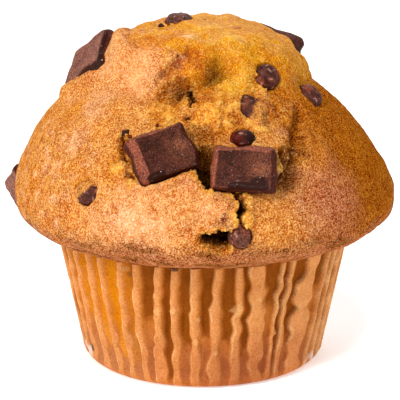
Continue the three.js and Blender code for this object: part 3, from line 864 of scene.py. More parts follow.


# %% [markdown]
# ### Crust and crumb
#
# Close up, the crust is a felt of pale grain tips over darker, more orange hollows, with a moist
# gleam on each tip. Two noises do most of this: one splits the painted colour into tips and hollows,
# and both raise the bump. Two more paint highlights into the colour: pale glint specks all over and,
# on moist crust, the gleam, which a thin coat also gives. A little light passes into the crumb, so
# its shadows are warm.

# %% Crust material
def crust_material():
    """Painted crust with tips and hollows of grain."""
    material, tree, shader, place = new_material("baked crust")
    paint = attribute(tree, "paint")
    moist = attribute(tree, "moist", "Fac")
    grain = attribute(tree, "grain", "Fac")
    fine = noise(tree, place, 0.29, 2.0, 0.65, 0.2)
    coarse = noise(tree, place, 1.25, 3.0, 0.6)
    tips = remap(tree, math_node(tree, "MULTIPLY_ADD", grain, 0.05, fine), 0.40, 0.61)
    patches = remap(tree, coarse, 0.36, 0.64)
    deepening = remap(tree, moist, 0, 1, 1.72, 1.36)
    paling = remap(tree, moist, 0, 1, 0.66, 0.84)
    hollow_colour = tint(tree, gamma(tree, paint, deepening), (0.86, 0.76, 0.55))
    tip_colour = tint(tree, gamma(tree, paint, paling), (1.15, 1.13, 1.12))
    grained = mix(tree, tips, hollow_colour, tip_colour)
    calm = remap(tree, paint, 0.30, 0.52, 0.0, 0.35)      # pale crust has a fainter grain
    grained = mix(tree, calm, grained, paint)
    browned = tint(tree, grained, (0.84, 0.71, 0.54))
    grained = mix(tree, patches, browned, grained)
    # painted highlights: pale glint specks, and a gleam on moist crust
    highlight_colour = gamma(tree, paint, 0.42)
    glint_specks = remap(tree, noise(tree, place, 0.36, 1.0, 0.5), 0.57, 0.72, 0.0, 0.70)
    glint_specks = math_node(tree, "MULTIPLY", glint_specks, remap(tree, paint, 0.02, 0.18))
    grained = mix(tree, glint_specks, grained, highlight_colour)
    gleam = remap(tree, noise(tree, place, 1.1, 2.0, 0.7, 0.6), 0.58, 0.72)
    gleam = math_node(tree, "MULTIPLY", gleam, remap(tree, moist, 0.3, 1.0, 0.0, 0.5))
    tree.links.new(mix(tree, gleam, grained, highlight_colour), shader.inputs["Base Color"])
    tree.links.new(remap(tree, moist, 0, 1, 0.60, 0.36), shader.inputs["Roughness"])
    relief = bump(tree, coarse, 0.16)
    relief = bump(tree, fine, 0.11, relief)
    tree.links.new(relief, shader.inputs["Normal"])
    tree.links.new(relief, shader.inputs["Coat Normal"])
    tree.links.new(remap(tree, moist, 0, 1, 0.0, 0.22), shader.inputs["Coat Weight"])
    shader.inputs["Coat Roughness"].default_value = 0.24
    shader.inputs["Subsurface Weight"].default_value = 0.10
    shader.inputs["Subsurface Radius"].default_value = (1.0, 0.45, 0.2)
    shader.inputs["Subsurface Scale"].default_value = 0.7 * MM
    shader.inputs["Specular IOR Level"].default_value = 0.0
    return material


crust = crust_material()

# %% [markdown]
# ### Greaseproof paper
#
# The paper has soaked up fat, so it is see-through where it lies on the crumb in a pleat's valley,
# and opaque and paler on the ridges that stand off it. The paint carries that; the material adds
# the speckle of the fibres and a dull gleam.

# %% Paper material
def paper_material():
    """Painted paper with fibre speckle."""
    material, tree, shader, place = new_material("greaseproof paper")
    paint = attribute(tree, "paint")
    speckle = noise(tree, place, 0.35, 3.0, 0.7)
    dark = tint(tree, paint, (0.82, 0.70, 0.52))
    pale = tint(tree, paint, (1.10, 1.16, 1.26))
    tree.links.new(mix(tree, remap(tree, speckle, 0.35, 0.66), dark, pale),
                   shader.inputs["Base Color"])
    shader.inputs["Roughness"].default_value = 0.48
    shader.inputs["Specular IOR Level"].default_value = 0.03
    wrinkle = noise(tree, place, 1.6, 3.0, 0.6, 0.8)
    tree.links.new(bump(tree, speckle, 0.03, bump(tree, wrinkle, 0.12)), shader.inputs["Normal"])
    shader.inputs["Subsurface Weight"].default_value = 0.1
    shader.inputs["Subsurface Radius"].default_value = (1.0, 0.5, 0.2)
    shader.inputs["Subsurface Scale"].default_value = 0.6 * MM
    return material


paper = paper_material()

# %% [markdown]
# ### Chocolate
#
# Each chunk has a dull, dusty face with fine brown speckle, and it is dark red and glossy where it
# melted. The paint says which, and the shine that each point carries sets the gloss. Pale sparkle and
# small glints are painted highlights in the colour.

# %% Chocolate material
def chocolate_material():
    """Painted chocolate with speckle on its dull parts."""
    material, tree, shader, place = new_material("chocolate")
    paint = attribute(tree, "paint")
    shine = attribute(tree, "shine", "Fac")
    speckle = noise(tree, place, 0.30, 2.0, 0.7)
    cloud = noise(tree, place, 1.6, 2.0, 0.5)
    dark = tint(tree, paint, (0.52, 0.47, 0.46))
    dusty = tint(tree, paint, (2.15, 2.0, 1.75))
    dull = mix(tree, remap(tree, speckle, 0.38, 0.66), dark, dusty)
    clouded = mix(tree, remap(tree, cloud, 0.35, 0.7), tint(tree, dull, (0.66, 0.64, 0.66)), dull)
    # painted highlights: pale sparkle on the dull parts and glints on the melted ones
    sparkle = remap(tree, noise(tree, place, 0.34, 1.0, 0.5), 0.70, 0.76, 0.0, 0.45)
    dusted = mix(tree, sparkle, clouded, (0.62, 0.52, 0.46))
    glint = remap(tree, noise(tree, place, 0.5, 1.0, 0.5), 0.72, 0.77, 0.0, 0.7)
    melted = mix(tree, glint, paint, (0.85, 0.72, 0.62))
    tree.links.new(mix(tree, shine, dusted, melted), shader.inputs["Base Color"])
    tree.links.new(remap(tree, shine, 0, 1, 0.58, 0.46), shader.inputs["Roughness"])
    grain = remap(tree, speckle, 0.3, 0.7)
    relief = bump(tree, grain, 0.04, bump(tree, cloud, 0.2))
    tree.links.new(relief, shader.inputs["Normal"])
    tree.links.new(remap(tree, shine, 0.5, 1, 0.0, 0.03), shader.inputs["Coat Weight"])
    shader.inputs["Coat Roughness"].default_value = 0.22
    shader.inputs["Specular IOR Level"].default_value = 0.09
    return material


chocolate = chocolate_material()

# %% [markdown]
# ## Painting the muffin
#
# The colours go on as washes, from the broadest to the smallest: skirt, crown, bulges, a darker band at
# the rim, torn crumb, then stains. Some of the washes are painted light: highlights on the slopes that
# face the light and on the crumb's tops, and shade in the cracks, creases and hollows. Each wash has a
# soft mask that noise frays, so no wash has a clean edge.

# %% Colours of the crust
GOLD = tone(215, 140, 54)
HONEY = tone(216, 129, 22)
# pale cream: the colour of painted highlights, and of pale patches and flecks on the skirt
HIGHLIGHT_CREAM = tone(250, 204, 156)
PEACH = tone(236, 165, 98)
TOAST = tone(168, 78, 0)
SUNNY = tone(220, 146, 12)
LEMON = tone(234, 172, 44)
DEEP_GOLD = tone(202, 106, 6)
AMBER = tone(214, 134, 16)
CRUMB_TOP_HIGHLIGHT = tone(250, 186, 74)
CRUMB_PIT_SHADE = tone(184, 96, 6)
OLIVE = tone(132, 78, 4)
ROSE = tone(172, 92, 44)
CHESTNUT = tone(133, 65, 18)
RUSSET = tone(142, 50, 4)
EMBER = tone(142, 62, 0)
BARK = tone(90, 37, 4)
CRACK_SHADE = tone(34, 10, 0)
TAWNY = tone(150, 76, 14)
COPPER = tone(184, 94, 8)
CLAY = tone(184, 98, 54)
MARIGOLD = tone(208, 112, 6)
SIENNA = tone(184, 100, 34)
HAZEL = tone(170, 86, 24)
APRICOT = tone(226, 140, 30)
MOSS = tone(112, 64, 4)
COCOA = tone(118, 50, 0)
OCHRE = tone(216, 138, 26)
BRONZE = tone(178, 94, 6)
SUNLIT = tone(248, 166, 42)
TAN = tone(150, 78, 20)
FAWN = tone(164, 88, 32)
WALNUT = tone(124, 56, 4)
MAROON = tone(120, 36, 2)
NUTMEG = tone(120, 54, 8)
CARAMEL = tone(140, 70, 4)
GINGER = tone(176, 84, 8)
CRUMB_FILM = tone(206, 140, 66)

# %% Washes of colour
def wash(colours, mask, colour):
    """Blends a colour over the ones that lie there, as much as the mask says."""
    return colours + np.clip(mask, 0, 1)[:, None] * (colour - colours)


def washes(colours, layers):
    """Blends several masks with their colours over the ones that lie there, one after another."""
    for mask, colour in layers:
        colours = wash(colours, mask, colour)
    return colours


# %% Where the washes and stains lie
WASHES = [
    # (azimuth, height), reach, colour, strength: over all of the crust
    ((-75, 46), 18, HONEY, 0.5),
    ((-45, 50), 14, GOLD, 0.6),
    ((-62, 54), 6, HONEY, 0.7),
    ((-57, 51), 4, DEEP_GOLD, 0.35),
    ((-40, 52), 4, HONEY, 0.6),
    ((-29, 46), 4.5, HONEY, 0.8),
    ((-30, 35), 10, PEACH, 0.35),
    ((-16, 37), 12, PEACH, 0.75),
    ((4, 38), 8, PEACH, 0.45),
    ((20, 38), 8, GOLD, 0.8),
    ((38, 48), 5, GOLD, 0.6),
    # painted shade at the foot of the crease right of the front right chunk
    ((28.2, 43.6), 3.0, TAWNY, 0.9),
    ((-60, 61), 10, PEACH, 0.5),
    ((-72, 64), 4, TOAST, 0.35),
    ((-34, 60), 9, PEACH, 0.9),
    # painted highlights on the slopes and bulges that face the light
    ((-20, 63.2), 2.6, HIGHLIGHT_CREAM, 0.6),
    ((-49, 55.0), 5, HIGHLIGHT_CREAM, 0.35),
    ((-47, 49.0), 4, HIGHLIGHT_CREAM, 0.35),
    ((-58, 61.5), 5, HIGHLIGHT_CREAM, 0.3),
    ((-22, 37.0), 5, HIGHLIGHT_CREAM, 0.4),
    ((-14, 36.0), 4, HIGHLIGHT_CREAM, 0.3),
    ((36, 53), 7, TOAST, 0.6),
    ((42, 49), 7, COPPER, 0.9),
    ((38, 39), 12, CLAY, 0.9),
    ((38.5, 46.5), 6, MARIGOLD, 0.6),
    ((62, 44), 12, TOAST, 0.5),
    ((-25.1, 38.5), 1.7, DEEP_GOLD, 0.9),
    ((-13.3, 39.1), 1.5, DEEP_GOLD, 0.8),
    ((5.6, 37.6), 1.3, RUSSET, 0.9),
    ((5.0, 36.2), 2.6, CHESTNUT, 0.5),
    ((6.2, 40.6), 2.0, SIENNA, 0.8),
    ((8.6, 38.8), 1.8, HAZEL, 0.8),
    ((8.0, 36.0), 1.8, CHESTNUT, 0.6),
    ((-29, 49.6), 2.2, RUSSET, 0.6),
    ((-37.0, 41.2), 3.2, CRUMB_FILM, 0.5),
    ((-26.4, 46.6), 2.0, RUSSET, 0.8),
]
TORN_WASHES = [
    # the same, but only on the crown and the torn crumb, so not on the flap
    ((-5, 63), 5.0, DEEP_GOLD, 0.9),
    ((-24, 67), 4.0, DEEP_GOLD, 0.5),
    ((-17.5, 60.8), 2.4, APRICOT, 0.8),
    ((-8, 66.3), 2.6, LEMON, 0.7),
    ((20, 68.4), 5.0, LEMON, 0.4),
    # painted highlight on the crown's left
    ((-12, 66.5), 1.8, HIGHLIGHT_CREAM, 0.7),
    ((20, 65.8), 5.0, LEMON, 0.8),
    ((42, 66), 4.0, LEMON, 0.5),
    ((22, 59.2), 4.0, LEMON, 0.8),
    ((12, 57.6), 3.0, LEMON, 0.7),
    ((48, 58.0), 6.0, DEEP_GOLD, 0.6),
    ((36, 56.0), 4.5, TOAST, 0.6),
    # painted shade in the crown's valley
    ((8.0, 61.7), 3.8, OLIVE, 1.0),
    ((4.0, 60.4), 2.4, MOSS, 0.8),
    ((43.5, 67.9), 1.2, RUSSET, 0.8),
    ((10, 69.0), 1.0, RUSSET, 0.8),
    # painted shade in the cavity under the flap
    ((-13.4, 58.2), 3.6, COCOA, 0.95),
    ((-8.0, 57.6), 2.8, BARK, 0.95),
    ((-16.5, 54.6), 3.0, OCHRE, 0.6),
    ((-11, 54.8), 3.0, OCHRE, 0.5),
    ((0, 57), 4.0, HONEY, 0.6),
    ((30, 54.2), 4.4, TOAST, 0.7),
    ((4.5, 51.0), 3.4, BRONZE, 0.9),
    ((0.6, 54.0), 3.8, SUNLIT, 0.8),
    ((23.5, 52.6), 2.4, TAN, 0.8),
    ((27.6, 55.6), 2.4, FAWN, 0.8),
    # painted shade, deepening down the hollow between the front chunks
    ((0.2, 51.4), 2.8, EMBER, 0.9),
    ((0.5, 48.8), 3.0, BARK, 1.0),
    ((0.2, 46.0), 3.0, CRACK_SHADE, 1.0),
    # painted shade in the crease right of the front right chunk
    ((34.5, 50.0), 3.4, EMBER, 1.0),
    ((31.6, 47.6), 3.8, WALNUT, 1.0),
    ((27.6, 46.4), 3.8, BARK, 1.0),
    ((25.2, 43.4), 3.0, BARK, 1.0),
    ((-15.7, 62.0), 2.0, RUSSET, 0.9),
]
STAINS = [
    # places, reach, colour, strength: burnt or moist edges, and painted shade along creases and beside
    # a chunk
    ([(-20.4, 60.4), (-19.3, 61.2), (-17.3, 62.0), (-14.4, 62.7), (-12.3, 63.6), (-10.2, 64.2)],
     1.3, RUSSET, 1.0),
    ([(-21.4, 60.4), (-23.4, 59.4), (-25.1, 57.9)], 0.8, CHESTNUT, 0.5),
    ([(-11.4, 64.9), (-6.5, 62.4), (-1.5, 62.6)], 0.9, RUSSET, 0.4),
    ([(-11.8, 59.6), (-8.1, 58.9), (-4.8, 58.6)], 0.9, RUSSET, 0.6),
    # partly a burnt colour, partly painted shade in the crease right of the front right chunk
    ([(45.6, 53.4), (40.8, 51.9), (36.2, 50.1), (33.6, 48.4)], 1.9, EMBER, 1.0),
    ([(37.8, 49.4), (35.6, 50.4), (33.7, 51.1)], 0.9, MAROON, 1.0),
    ([(33.2, 47.9), (31.0, 46.6), (28.6, 45.2), (25.4, 43.0)], 2.1, NUTMEG, 1.0),
    # painted shade beside the front left chunk's right edge
    ([(-4.4, 52.7), (-2.6, 51.4), (-0.8, 50.0)], 1.5, CARAMEL, 0.9),
    ([(-29.6, 51.0), (-28.0, 49.2), (-25.0, 46.6), (-22.0, 44.2)], 1.3, RUSSET, 0.8),
    ([(-20.2, 42.8), (-15.7, 43.1), (-11.3, 43.9), (-6.9, 44.8)], 0.5, EMBER, 0.5),
    # painted shadow along the crease behind the upper left lobe's edge
    ([(-70, 65.8), (-60, 65.0), (-50, 64.2), (-43, 63.8), (-34, 64.3)], 1.0, GINGER, 0.9),
    ([(-60, 66.6), (-44, 65.8), (-30, 65.8)], 2.4, DEEP_GOLD, 0.7),
]
print("washes:", len(WASHES) + len(TORN_WASHES), " stains:", len(STAINS))

# %% Skirt and crown
frayed = outline + 1.6 * stray(outline, 6.0, 110) + 0.7 * stray(outline, 1.8, 120)
frayed_azimuth = azimuth + 5 * lumps(outline, 7.0, 130) + 2 * lumps(outline, 2.0, 131)
right_side = smooth_step(26, 50, frayed_azimuth) * smooth_step(178, 150, frayed_azimuth)
pale_patches = smooth_step(0.2, 0.8, lumps(outline, 5.0, 162)) * (1 - right_side) * (1 - crown_area)
paint = washes(np.tile(GOLD, (len(outline), 1)), [
    (0.6 * smooth_step(0.0, 0.7, lumps(outline, 9.0, 160)), HONEY),
    (0.5 * smooth_step(0.1, 0.7, lumps(outline, 4.0, 161)), DEEP_GOLD),
    (0.95 * right_side, TOAST),
    (0.4 * pale_patches, HIGHLIGHT_CREAM),
    (crown_area, SUNNY),
])
for place, reach, colour, strength in WASHES:
    paint = wash(paint, strength * fall(near_place(frayed, *place), reach), colour)
print("mean paint of the skirt and crown:", paint.mean(0).round(3))

# %% Rim, torn crumb and stains
rim_band = smooth_step(33.8, 30.2, frayed[:, 2])
streaks = lumps(outline * [0.45, 0.45, 1.6], 2.2, 150)
roughness = height_map - soft + crack_depth
paint = washes(paint, [
    (0.9 * rim_band, ROSE),
    (rim_band * smooth_step(-0.1, 0.45, streaks), CHESTNUT),
    (0.7 * torn, AMBER),
    # painted highlights on the torn crumb's tops and painted shade in its pits
    (0.95 * torn * smooth_step(0.12, 0.5, roughness), CRUMB_TOP_HIGHLIGHT),
    (0.9 * torn * smooth_step(0.05, -0.3, roughness), CRUMB_PIT_SHADE),
    # painted shade, darker the deeper the crack
    (0.9 * smooth_step(0.3, 1.4, crack_depth), EMBER),
    (smooth_step(1.6, 3.2, crack_depth), CRACK_SHADE),
])
for place, reach, colour, strength in TORN_WASHES:
    paint = wash(paint, strength * fall(near_place(ragged, *place), reach) * (1 - on_flap), colour)
patchy = np.clip(0.7 + 0.6 * lumps(outline, 1.6, 165), 0, 1)
for places, reach, colour, strength in STAINS:
    distance, _, _ = near_line(ragged, crust_line(places), reach)
    paint = wash(paint, strength * fall(distance, reach) * patchy, colour)
print("mean paint with the torn crumb:", paint.mean(0).round(3))

# %% Freckles, moisture and the muffin's mesh
# The skirt is freckled at the left, and the whole crust is mottled: its red least, its blue most
MOTTLE_POWERS = np.array([0.6, 1.2, 2.0])
freckled = smooth_step(-30, -48, frayed_azimuth) * smooth_step(54, 47, outline[:, 2])
mottle = 1 + 0.2 * rough(outline, 3.5, 3, 140)
mottle += freckled * (0.3 * lumps(outline, 1.6, 141) + 0.25 * lumps(outline, 0.8, 142))
paint = washes(paint, [
    (0.6 * freckled * smooth_step(0.05, 0.5, lumps(outline, 2.2, 143)), DEEP_GOLD),
    (0.3 * freckled * smooth_step(0.05, 0.7, lumps(outline, 1.5, 144)), HIGHLIGHT_CREAM),
])
paint = np.clip(paint * mottle[:, None] ** MOTTLE_POWERS, 0, 1)
moist = np.clip(crown_area * (0.95 - 0.3 * torn) + torn * 0.55 * (1 - 0.5 * crown_area), 0, 1)
moist *= smooth_step(1.6, 0.5, crack_depth)

muffin = new_piece("muffin_crumb", surface, muffin_faces, crust,
                   {"paint": paint, "moist": moist, "grain": felt})
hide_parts("muffin")

# %% [markdown]
# ## Paper case
#
# The real case is a disc of paper pressed between two fluted moulds, so its wall is all pleats. In
# the oven the batter pushes the pleats out unevenly: some ridges stay narrow and sharp, others are
# crushed flat. Folding cloth would not give that in time. Here the wall is a function of azimuth
# and height: each ridge has a half width, and the paper falls to the valley's depth beside it.

# %% Ridges and valleys
BACK_SPACING = 8.0      # degrees between the ridges that can't be seen from the front
FRONT_RIDGES = [
    # azimuth at the mouth, half way and at the foot, half width at the mouth and at the foot in mm
    (-76.5, -75.5, -74.7, 0.25, 0.35),
    (-67.0, -67.5, -67.5, 0.20, 0.35),
    (-59.0, -59.8, -61.6, 0.25, 0.45),
    (-49.8, -51.3, -50.5, 0.25, 0.45),
    (-43.1, -43.2, -40.5, 0.20, 0.40),
    (-33.0, -34.8, -33.3, 0.30, 0.45),
    (-26.3, -27.8, -25.7, 0.30, 0.55),
    (-17.2, -18.6, -18.6, 0.30, 1.10),
    (-10.8, -12.0, -11.7, 0.25, 0.50),
    (-3.5, -3.9, -3.2, 0.30, 0.60),
    (5.3, 4.6, 4.5, 0.30, 0.75),
    (13.4, 13.9, 14.2, 0.30, 0.60),
    (20.6, 22.4, 24.4, 1.10, 1.20),
    (31.5, 30.8, 30.2, 0.18, 0.30),
    (35.8, 34.7, 35.6, 0.22, 0.40),
    (46.5, 44.6, 45.2, 1.70, 2.00),
    (57.4, 56.8, 55.2, 0.25, 0.40),
    (63.4, 62.6, 61.8, 0.25, 0.50),
    (70.5, 70.2, 69.8, 0.50, 0.60),
]
back_start, back_end = FRONT_RIDGES[-1][1], 360 + FRONT_RIDGES[0][1]
back_count = int((back_end - back_start) / BACK_SPACING)
back_azimuths = np.linspace(back_start, back_end, back_count + 1)[1:-1]
back_drift = 1.2 * rng.uniform(-1, 1, (len(back_azimuths), 3)).cumsum(1) / 2
back_azimuths = back_azimuths[:, None] + back_drift
back_widths = rng.uniform(0.2, 0.5, (len(back_azimuths), 2)) + [[0, 0.2]]
ridges = np.concatenate([FRONT_RIDGES, np.concatenate([back_azimuths, back_widths], axis=1)])
turn_round = np.array([[360.0, 360.0, 360.0, 0, 0]])
ridges = np.concatenate([ridges[-1:] - turn_round, ridges, ridges[:1] + turn_round])
# Fat soaks each valley from the mouth down to a height in mm: a valley's number and that height
WET_ENDS = {3: 12.0, 4: 6.0, 5: 4.5, 6: 5.0, 7: 15.0, 8: 1.5, 9: 9.5, 10: 12.0, 11: 10.0, 12: 7.5,
            13: 17.0, 14: 5.0, 15: 9.0, 16: 19.0, 17: 10.0, 18: 4.0}
wet_ends = rng.uniform(3, 18, len(ridges))
for valley, end in WET_ENDS.items():
    wet_ends[valley] = end
print("pleats:", len(ridges) - 2)

# %% Pleats
MIDDLE_DEGREE = 0.48      # mm round the wall in one degree, half way up
LOW_DEGREE = 0.46         # and lower down


def flattened(azimuth, height):
    """The wall rolled out flat, mm round it and mm up, which is where its noise lies."""
    return np.stack([azimuth * MIDDLE_DEGREE, height, 0 * height], axis=1)


def degree_length(height):
    """Mm round the wall in one degree at each height."""
    return wall_radius(height) * np.pi / 180


def turned_from(azimuth, place):
    """Degrees from a place round the wall to each azimuth, from -180 to 180."""
    return (azimuth - place + 180) % 360 - 180


def pleats(azimuth, height):
    """For each point of the wall: how deep it is folded (0 on a ridge, 1 in a valley), the number
    of its valley, and the distances in mm from the ridges on its left and right. A ridge drifts
    sideways down the wall. The paper slopes gently down from it on its right and steeply on its
    left."""
    sheet = flattened(azimuth, height)
    free = smooth_step(26.5, 20, height)      # the mouth's ridges stay in place
    kinks = 1 - 2.4 * np.abs(lumps(sheet, 4.5, 206))
    sway = 0.5 * lumps(sheet, 7.0, 200) + 0.3 * lumps(sheet, 3.0, 201) + 0.7 * kinks
    turned = (azimuth + free * sway - ridges[0, 1]) % 360 + ridges[0, 1]
    up = np.clip(height / CASE_HEIGHT, 0, 1)
    drift = np.stack([np.clip(2 * up - 1, 0, 1),
                      1 - np.abs(2 * up - 1),
                      np.clip(1 - 2 * up, 0, 1)])
    left = np.clip(np.searchsorted(ridges[:, 1], turned) - 1, 0, len(ridges) - 2)
    for _ in range(2):      # a point near a drifting ridge may belong to the next valley
        before = (ridges[left, :3].T * drift).sum(0)
        after = (ridges[left + 1, :3].T * drift).sum(0)
        left = np.clip(left - (turned < before) + (turned > after), 0, len(ridges) - 2)
    before = (ridges[left, :3].T * drift).sum(0)
    after = (ridges[left + 1, :3].T * drift).sum(0)
    degree = degree_length(height)
    swell = np.clip(1 + 0.8 * lumps(sheet, 3.0, 202), 0.3, 2)
    width_left, width_right = (
        (ridges[k, 4] + (ridges[k, 3] - ridges[k, 4]) * up) * swell for k in (left, left + 1))
    from_left = (turned - before) * degree - width_left
    from_right = (after - turned) * degree - width_right
    gap = (after - before) * degree - width_left - width_right
    slope = np.clip(0.68 * gap, 0.75, 2.3)
    folded = np.minimum(smooth_step(-0.15, 1.0, from_left / slope),
                        smooth_step(-0.12, 0.42, from_right))
    return folded, left, from_left, from_right


# %% Pinched folds
PINCHES = [
    # azimuth, height, reach to the left, rise: where a ridge is pinched out to a pointed fold
    (-18.0, 16.6, 1.5, 0.8), (-11.2, 17.0, 1.3, 0.7), (-28.0, 10.6, 1.4, 0.7),
    (-2.6, 10.4, 1.4, 0.8), (-1.4, 15.3, 1.2, 0.7), (14.6, 17.2, 2.5, 1.0),
    (22.6, 18.8, 1.4, 0.5), (5.8, 8.0, 1.4, 0.5), (32.5, 11.0, 1.2, 0.5),
    (110.0, 14.0, 1.8, 0.8), (150.0, 11.0, 2.0, 0.8), (-160.0, 16.0, 1.8, 0.8),
    (-120.0, 9.0, 1.8, 0.7), (85.0, 8.0, 1.6, 0.6),
]


def pinched(azimuth, height):
    """How far the pinches push the wall out at each point: a triangle with its tip on the left."""
    degree = degree_length(height)
    total = np.zeros(len(azimuth))
    for place, level, reach, rise in PINCHES:
        aside = turned_from(azimuth, place) * degree
        past = np.maximum(aside / 0.4, -aside) + 1.3 * np.abs(height - level - 0.2 * aside)
        total += rise * smooth_step(1.0, 0.4, past / reach)
    return total


# %% The wall's radius
PLEAT_DEPTH, DEEPEST_FOLD, PAPER_THICKNESS = 1.3, 1.45, 0.28      # in mm


def paper_radius(azimuth, height):
    """The wall's outer radius with its pleats and crinkles. They fade round the base corner."""
    folded, _, _, _ = pleats(azimuth, height)
    sheet = flattened(azimuth, height)
    rise = smooth_step(-0.3, CASE_CORNER_RADIUS * 1.3, height)
    soften = 1 - 0.35 * smooth_step(14, 4, height)
    depth = PLEAT_DEPTH * soften * (0.9 + 0.3 * lumps(sheet, 6.0, 203))
    creased = 1 - 2.4 * np.abs(lumps(sheet * [1, 0.6, 1], 2.8, 204))
    crinkle = 0.2 * creased + 0.1 * lumps(sheet, 1.3, 205)
    corner = np.clip(height, 0, CASE_CORNER_RADIUS)
    rounded = CASE_FLAT_RADIUS + np.sqrt(CASE_CORNER_RADIUS**2 - (CASE_CORNER_RADIUS - corner) ** 2)
    plain = np.where(height > CASE_CORNER_RADIUS, wall_radius(height), rounded)
    sunk = np.maximum(depth * folded - pinched(azimuth, height), 0) + np.clip(-crinkle, 0, 0.4)
    return plain - rise * np.clip(sunk, 0, DEEPEST_FOLD)


# %% The case as one closed sheet
CASE_COLUMNS = 640
WALL_ROWS, CORNER_ROWS, FLAT_ROWS, INNER_ROWS = 84, 8, 4, 42
INTO_CORNER = 1.2      # how far the floor's upper side runs into the rounded corner


def case_rows():
    """Heights of the rows from the base's edge up the outside and down the inside, and how far each
    row is set in."""
    turn = np.linspace(0, np.pi / 2, CORNER_ROWS + 1)
    corner = CASE_CORNER_RADIUS * (1 - np.cos(turn))
    wall = np.linspace(CASE_CORNER_RADIUS, CASE_HEIGHT, WALL_ROWS + 1)[1:]
    inner = np.linspace(CASE_HEIGHT, CASE_CORNER_RADIUS, INNER_ROWS)
    heights = np.concatenate([corner, wall, inner])
    insets = np.concatenate([0 * corner, 0 * wall, 0 * inner + PAPER_THICKNESS])
    return heights, insets


case_turn = np.linspace(0, 2 * np.pi, CASE_COLUMNS, endpoint=False)
case_azimuths = np.degrees(case_turn - FRONT_CROWDING * np.sin(case_turn))
row_heights, row_insets = case_rows()
sheet_azimuth = np.tile(case_azimuths, len(row_heights))
sheet_height = np.repeat(row_heights, CASE_COLUMNS)
sheet_radius = paper_radius(sheet_azimuth, sheet_height) - np.repeat(row_insets, CASE_COLUMNS)
sheet_radius = np.where(sheet_height == 0, CASE_FLAT_RADIUS, sheet_radius)
wall_points = polar(sheet_azimuth, sheet_radius, sheet_height)
under_radii = np.repeat(np.linspace(0, CASE_FLAT_RADIUS, FLAT_ROWS + 2)[1:-1], CASE_COLUMNS)
under_points = polar(np.tile(case_azimuths, FLAT_ROWS), under_radii, 0 * under_radii)
over_radii = np.repeat(np.linspace(CASE_FLAT_RADIUS + INTO_CORNER, 0, FLAT_ROWS + 1)[:-1], CASE_COLUMNS)
over_points = polar(np.tile(case_azimuths, FLAT_ROWS), over_radii, 0 * over_radii + PAPER_THICKNESS)
case_points = np.concatenate([under_points, wall_points, over_points,
                              [[0, 0, 0], [0, 0, PAPER_THICKNESS]]])
case_row_count = 2 * FLAT_ROWS + len(row_heights)
first_ring = np.arange(CASE_COLUMNS)
case_faces = [lattice_faces(case_row_count, CASE_COLUMNS),
              fan_faces(first_ring, len(case_points) - 2)[:, ::-1],
              fan_faces(first_ring + (case_row_count - 1) * CASE_COLUMNS, len(case_points) - 1)]

# %% Painting the paper
CREST = tone(244, 190, 128)
DRY_TAN = tone(226, 152, 88)
SLOPE_TAN = tone(204, 124, 52)
WET_AMBER = tone(140, 70, 0)
WET_GOLD = tone(214, 130, 4)
FAT_PINK = tone(172, 98, 56)
FAT_TAN = tone(208, 130, 74)
LOW_BROWN = tone(158, 84, 46)
BASE_ORANGE = tone(200, 114, 36)
PALE_BIT = tone(236, 214, 200)
BRUISE = tone(92, 52, 46)
PAPER_MOTTLE_POWERS = np.array([0.8, 1.2, 1.8])

case_height = case_points[:, 2]
side = azimuth_of(case_points)
folded, valley, from_left, from_right = pleats(side, case_height)
sheet = flattened(side, case_height)
wet_edge = wet_ends[valley] + 1.6 * lumps(sheet, 1.8, 210)
wet = smooth_step(0.32, 0.88, folded) * smooth_step(-1.4, 1.0, case_height - wet_edge)
wet_left = smooth_step(-24, -34, side) * smooth_step(-72, -60, side)
low_fat = smooth_step(15, 4, case_height + 5 * lumps(sheet, 5, 211))
flats = smooth_step(0.35, 0.9, np.minimum(-from_left, -from_right))
broken = smooth_step(-0.2, 0.4, lumps(sheet, 5.0, 214) + 0.3)
ridge_highlight = smooth_step(0.34, 0.08, np.abs(from_right)) * broken
low_down = smooth_step(14, 5, case_height + 3 * lumps(sheet, 5, 217))
low_middle = low_down * smooth_step(-8, 10, side) * smooth_step(46, 30, side)
case_paint = washes(np.tile(DRY_TAN, (len(case_points), 1)), [
    (smooth_step(0.05, 0.5, folded), SLOPE_TAN),
    (0.9 * low_fat * smooth_step(0.1, 0.6, folded), FAT_PINK),
    (0.75 * low_fat * smooth_step(0.3, 0.0, folded), FAT_TAN),
    (0.7 * flats * smooth_step(-0.2, 0.5, lumps(sheet, 3.0, 216)), SLOPE_TAN),
    (0.95 * wet * wet_left, WET_GOLD),
    (0.9 * wet * (1 - wet_left), WET_AMBER),
    # painted highlight along the left edge of each ridge, which faces the light
    (ridge_highlight * (0.55 - 0.2 * low_fat + 0.5 * lumps(sheet, 2.5, 213)), CREST),
    (0.4 * smooth_step(0.1, 0.5, pinched(side, case_height)), CREST),
    (0.5 * smooth_step(2.6, 0.6, case_height), BASE_ORANGE),
    (0.42 * low_middle, LOW_BROWN),
    (0.35 * low_down * smooth_step(50, 66, side), CREST),
    (0.12 * low_down * smooth_step(-20, -30, side), CREST),
])
CASE_MARKS = [
    # azimuth, height, reach, colour, strength
    (-66.0, 2.5, 1.5, PALE_BIT, 0.9),
    (-71.5, 3.2, 1.5, PALE_BIT, 0.8),
    (-61.3, 4.3, 0.9, BRUISE, 0.9),
    (57.2, 1.6, 1.3, PALE_BIT, 0.8),
    (62.4, 2.4, 1.3, PALE_BIT, 0.8),
    (-31.0, 24.6, 0.9, CREST, 0.3),
    (-29.6, 23.4, 0.5, BRUISE, 0.4),
    (-10.0, 26.0, 0.9, BRUISE, 0.9),
]
for place, level, reach, colour, strength in CASE_MARKS:
    aside = turned_from(side, place) * LOW_DEGREE
    around = np.hypot(aside, case_height - level) + 0.4 * lumps(sheet, 1.2, 215)
    case_paint = wash(case_paint, strength * smooth_step(reach, 0.6 * reach, around), colour)
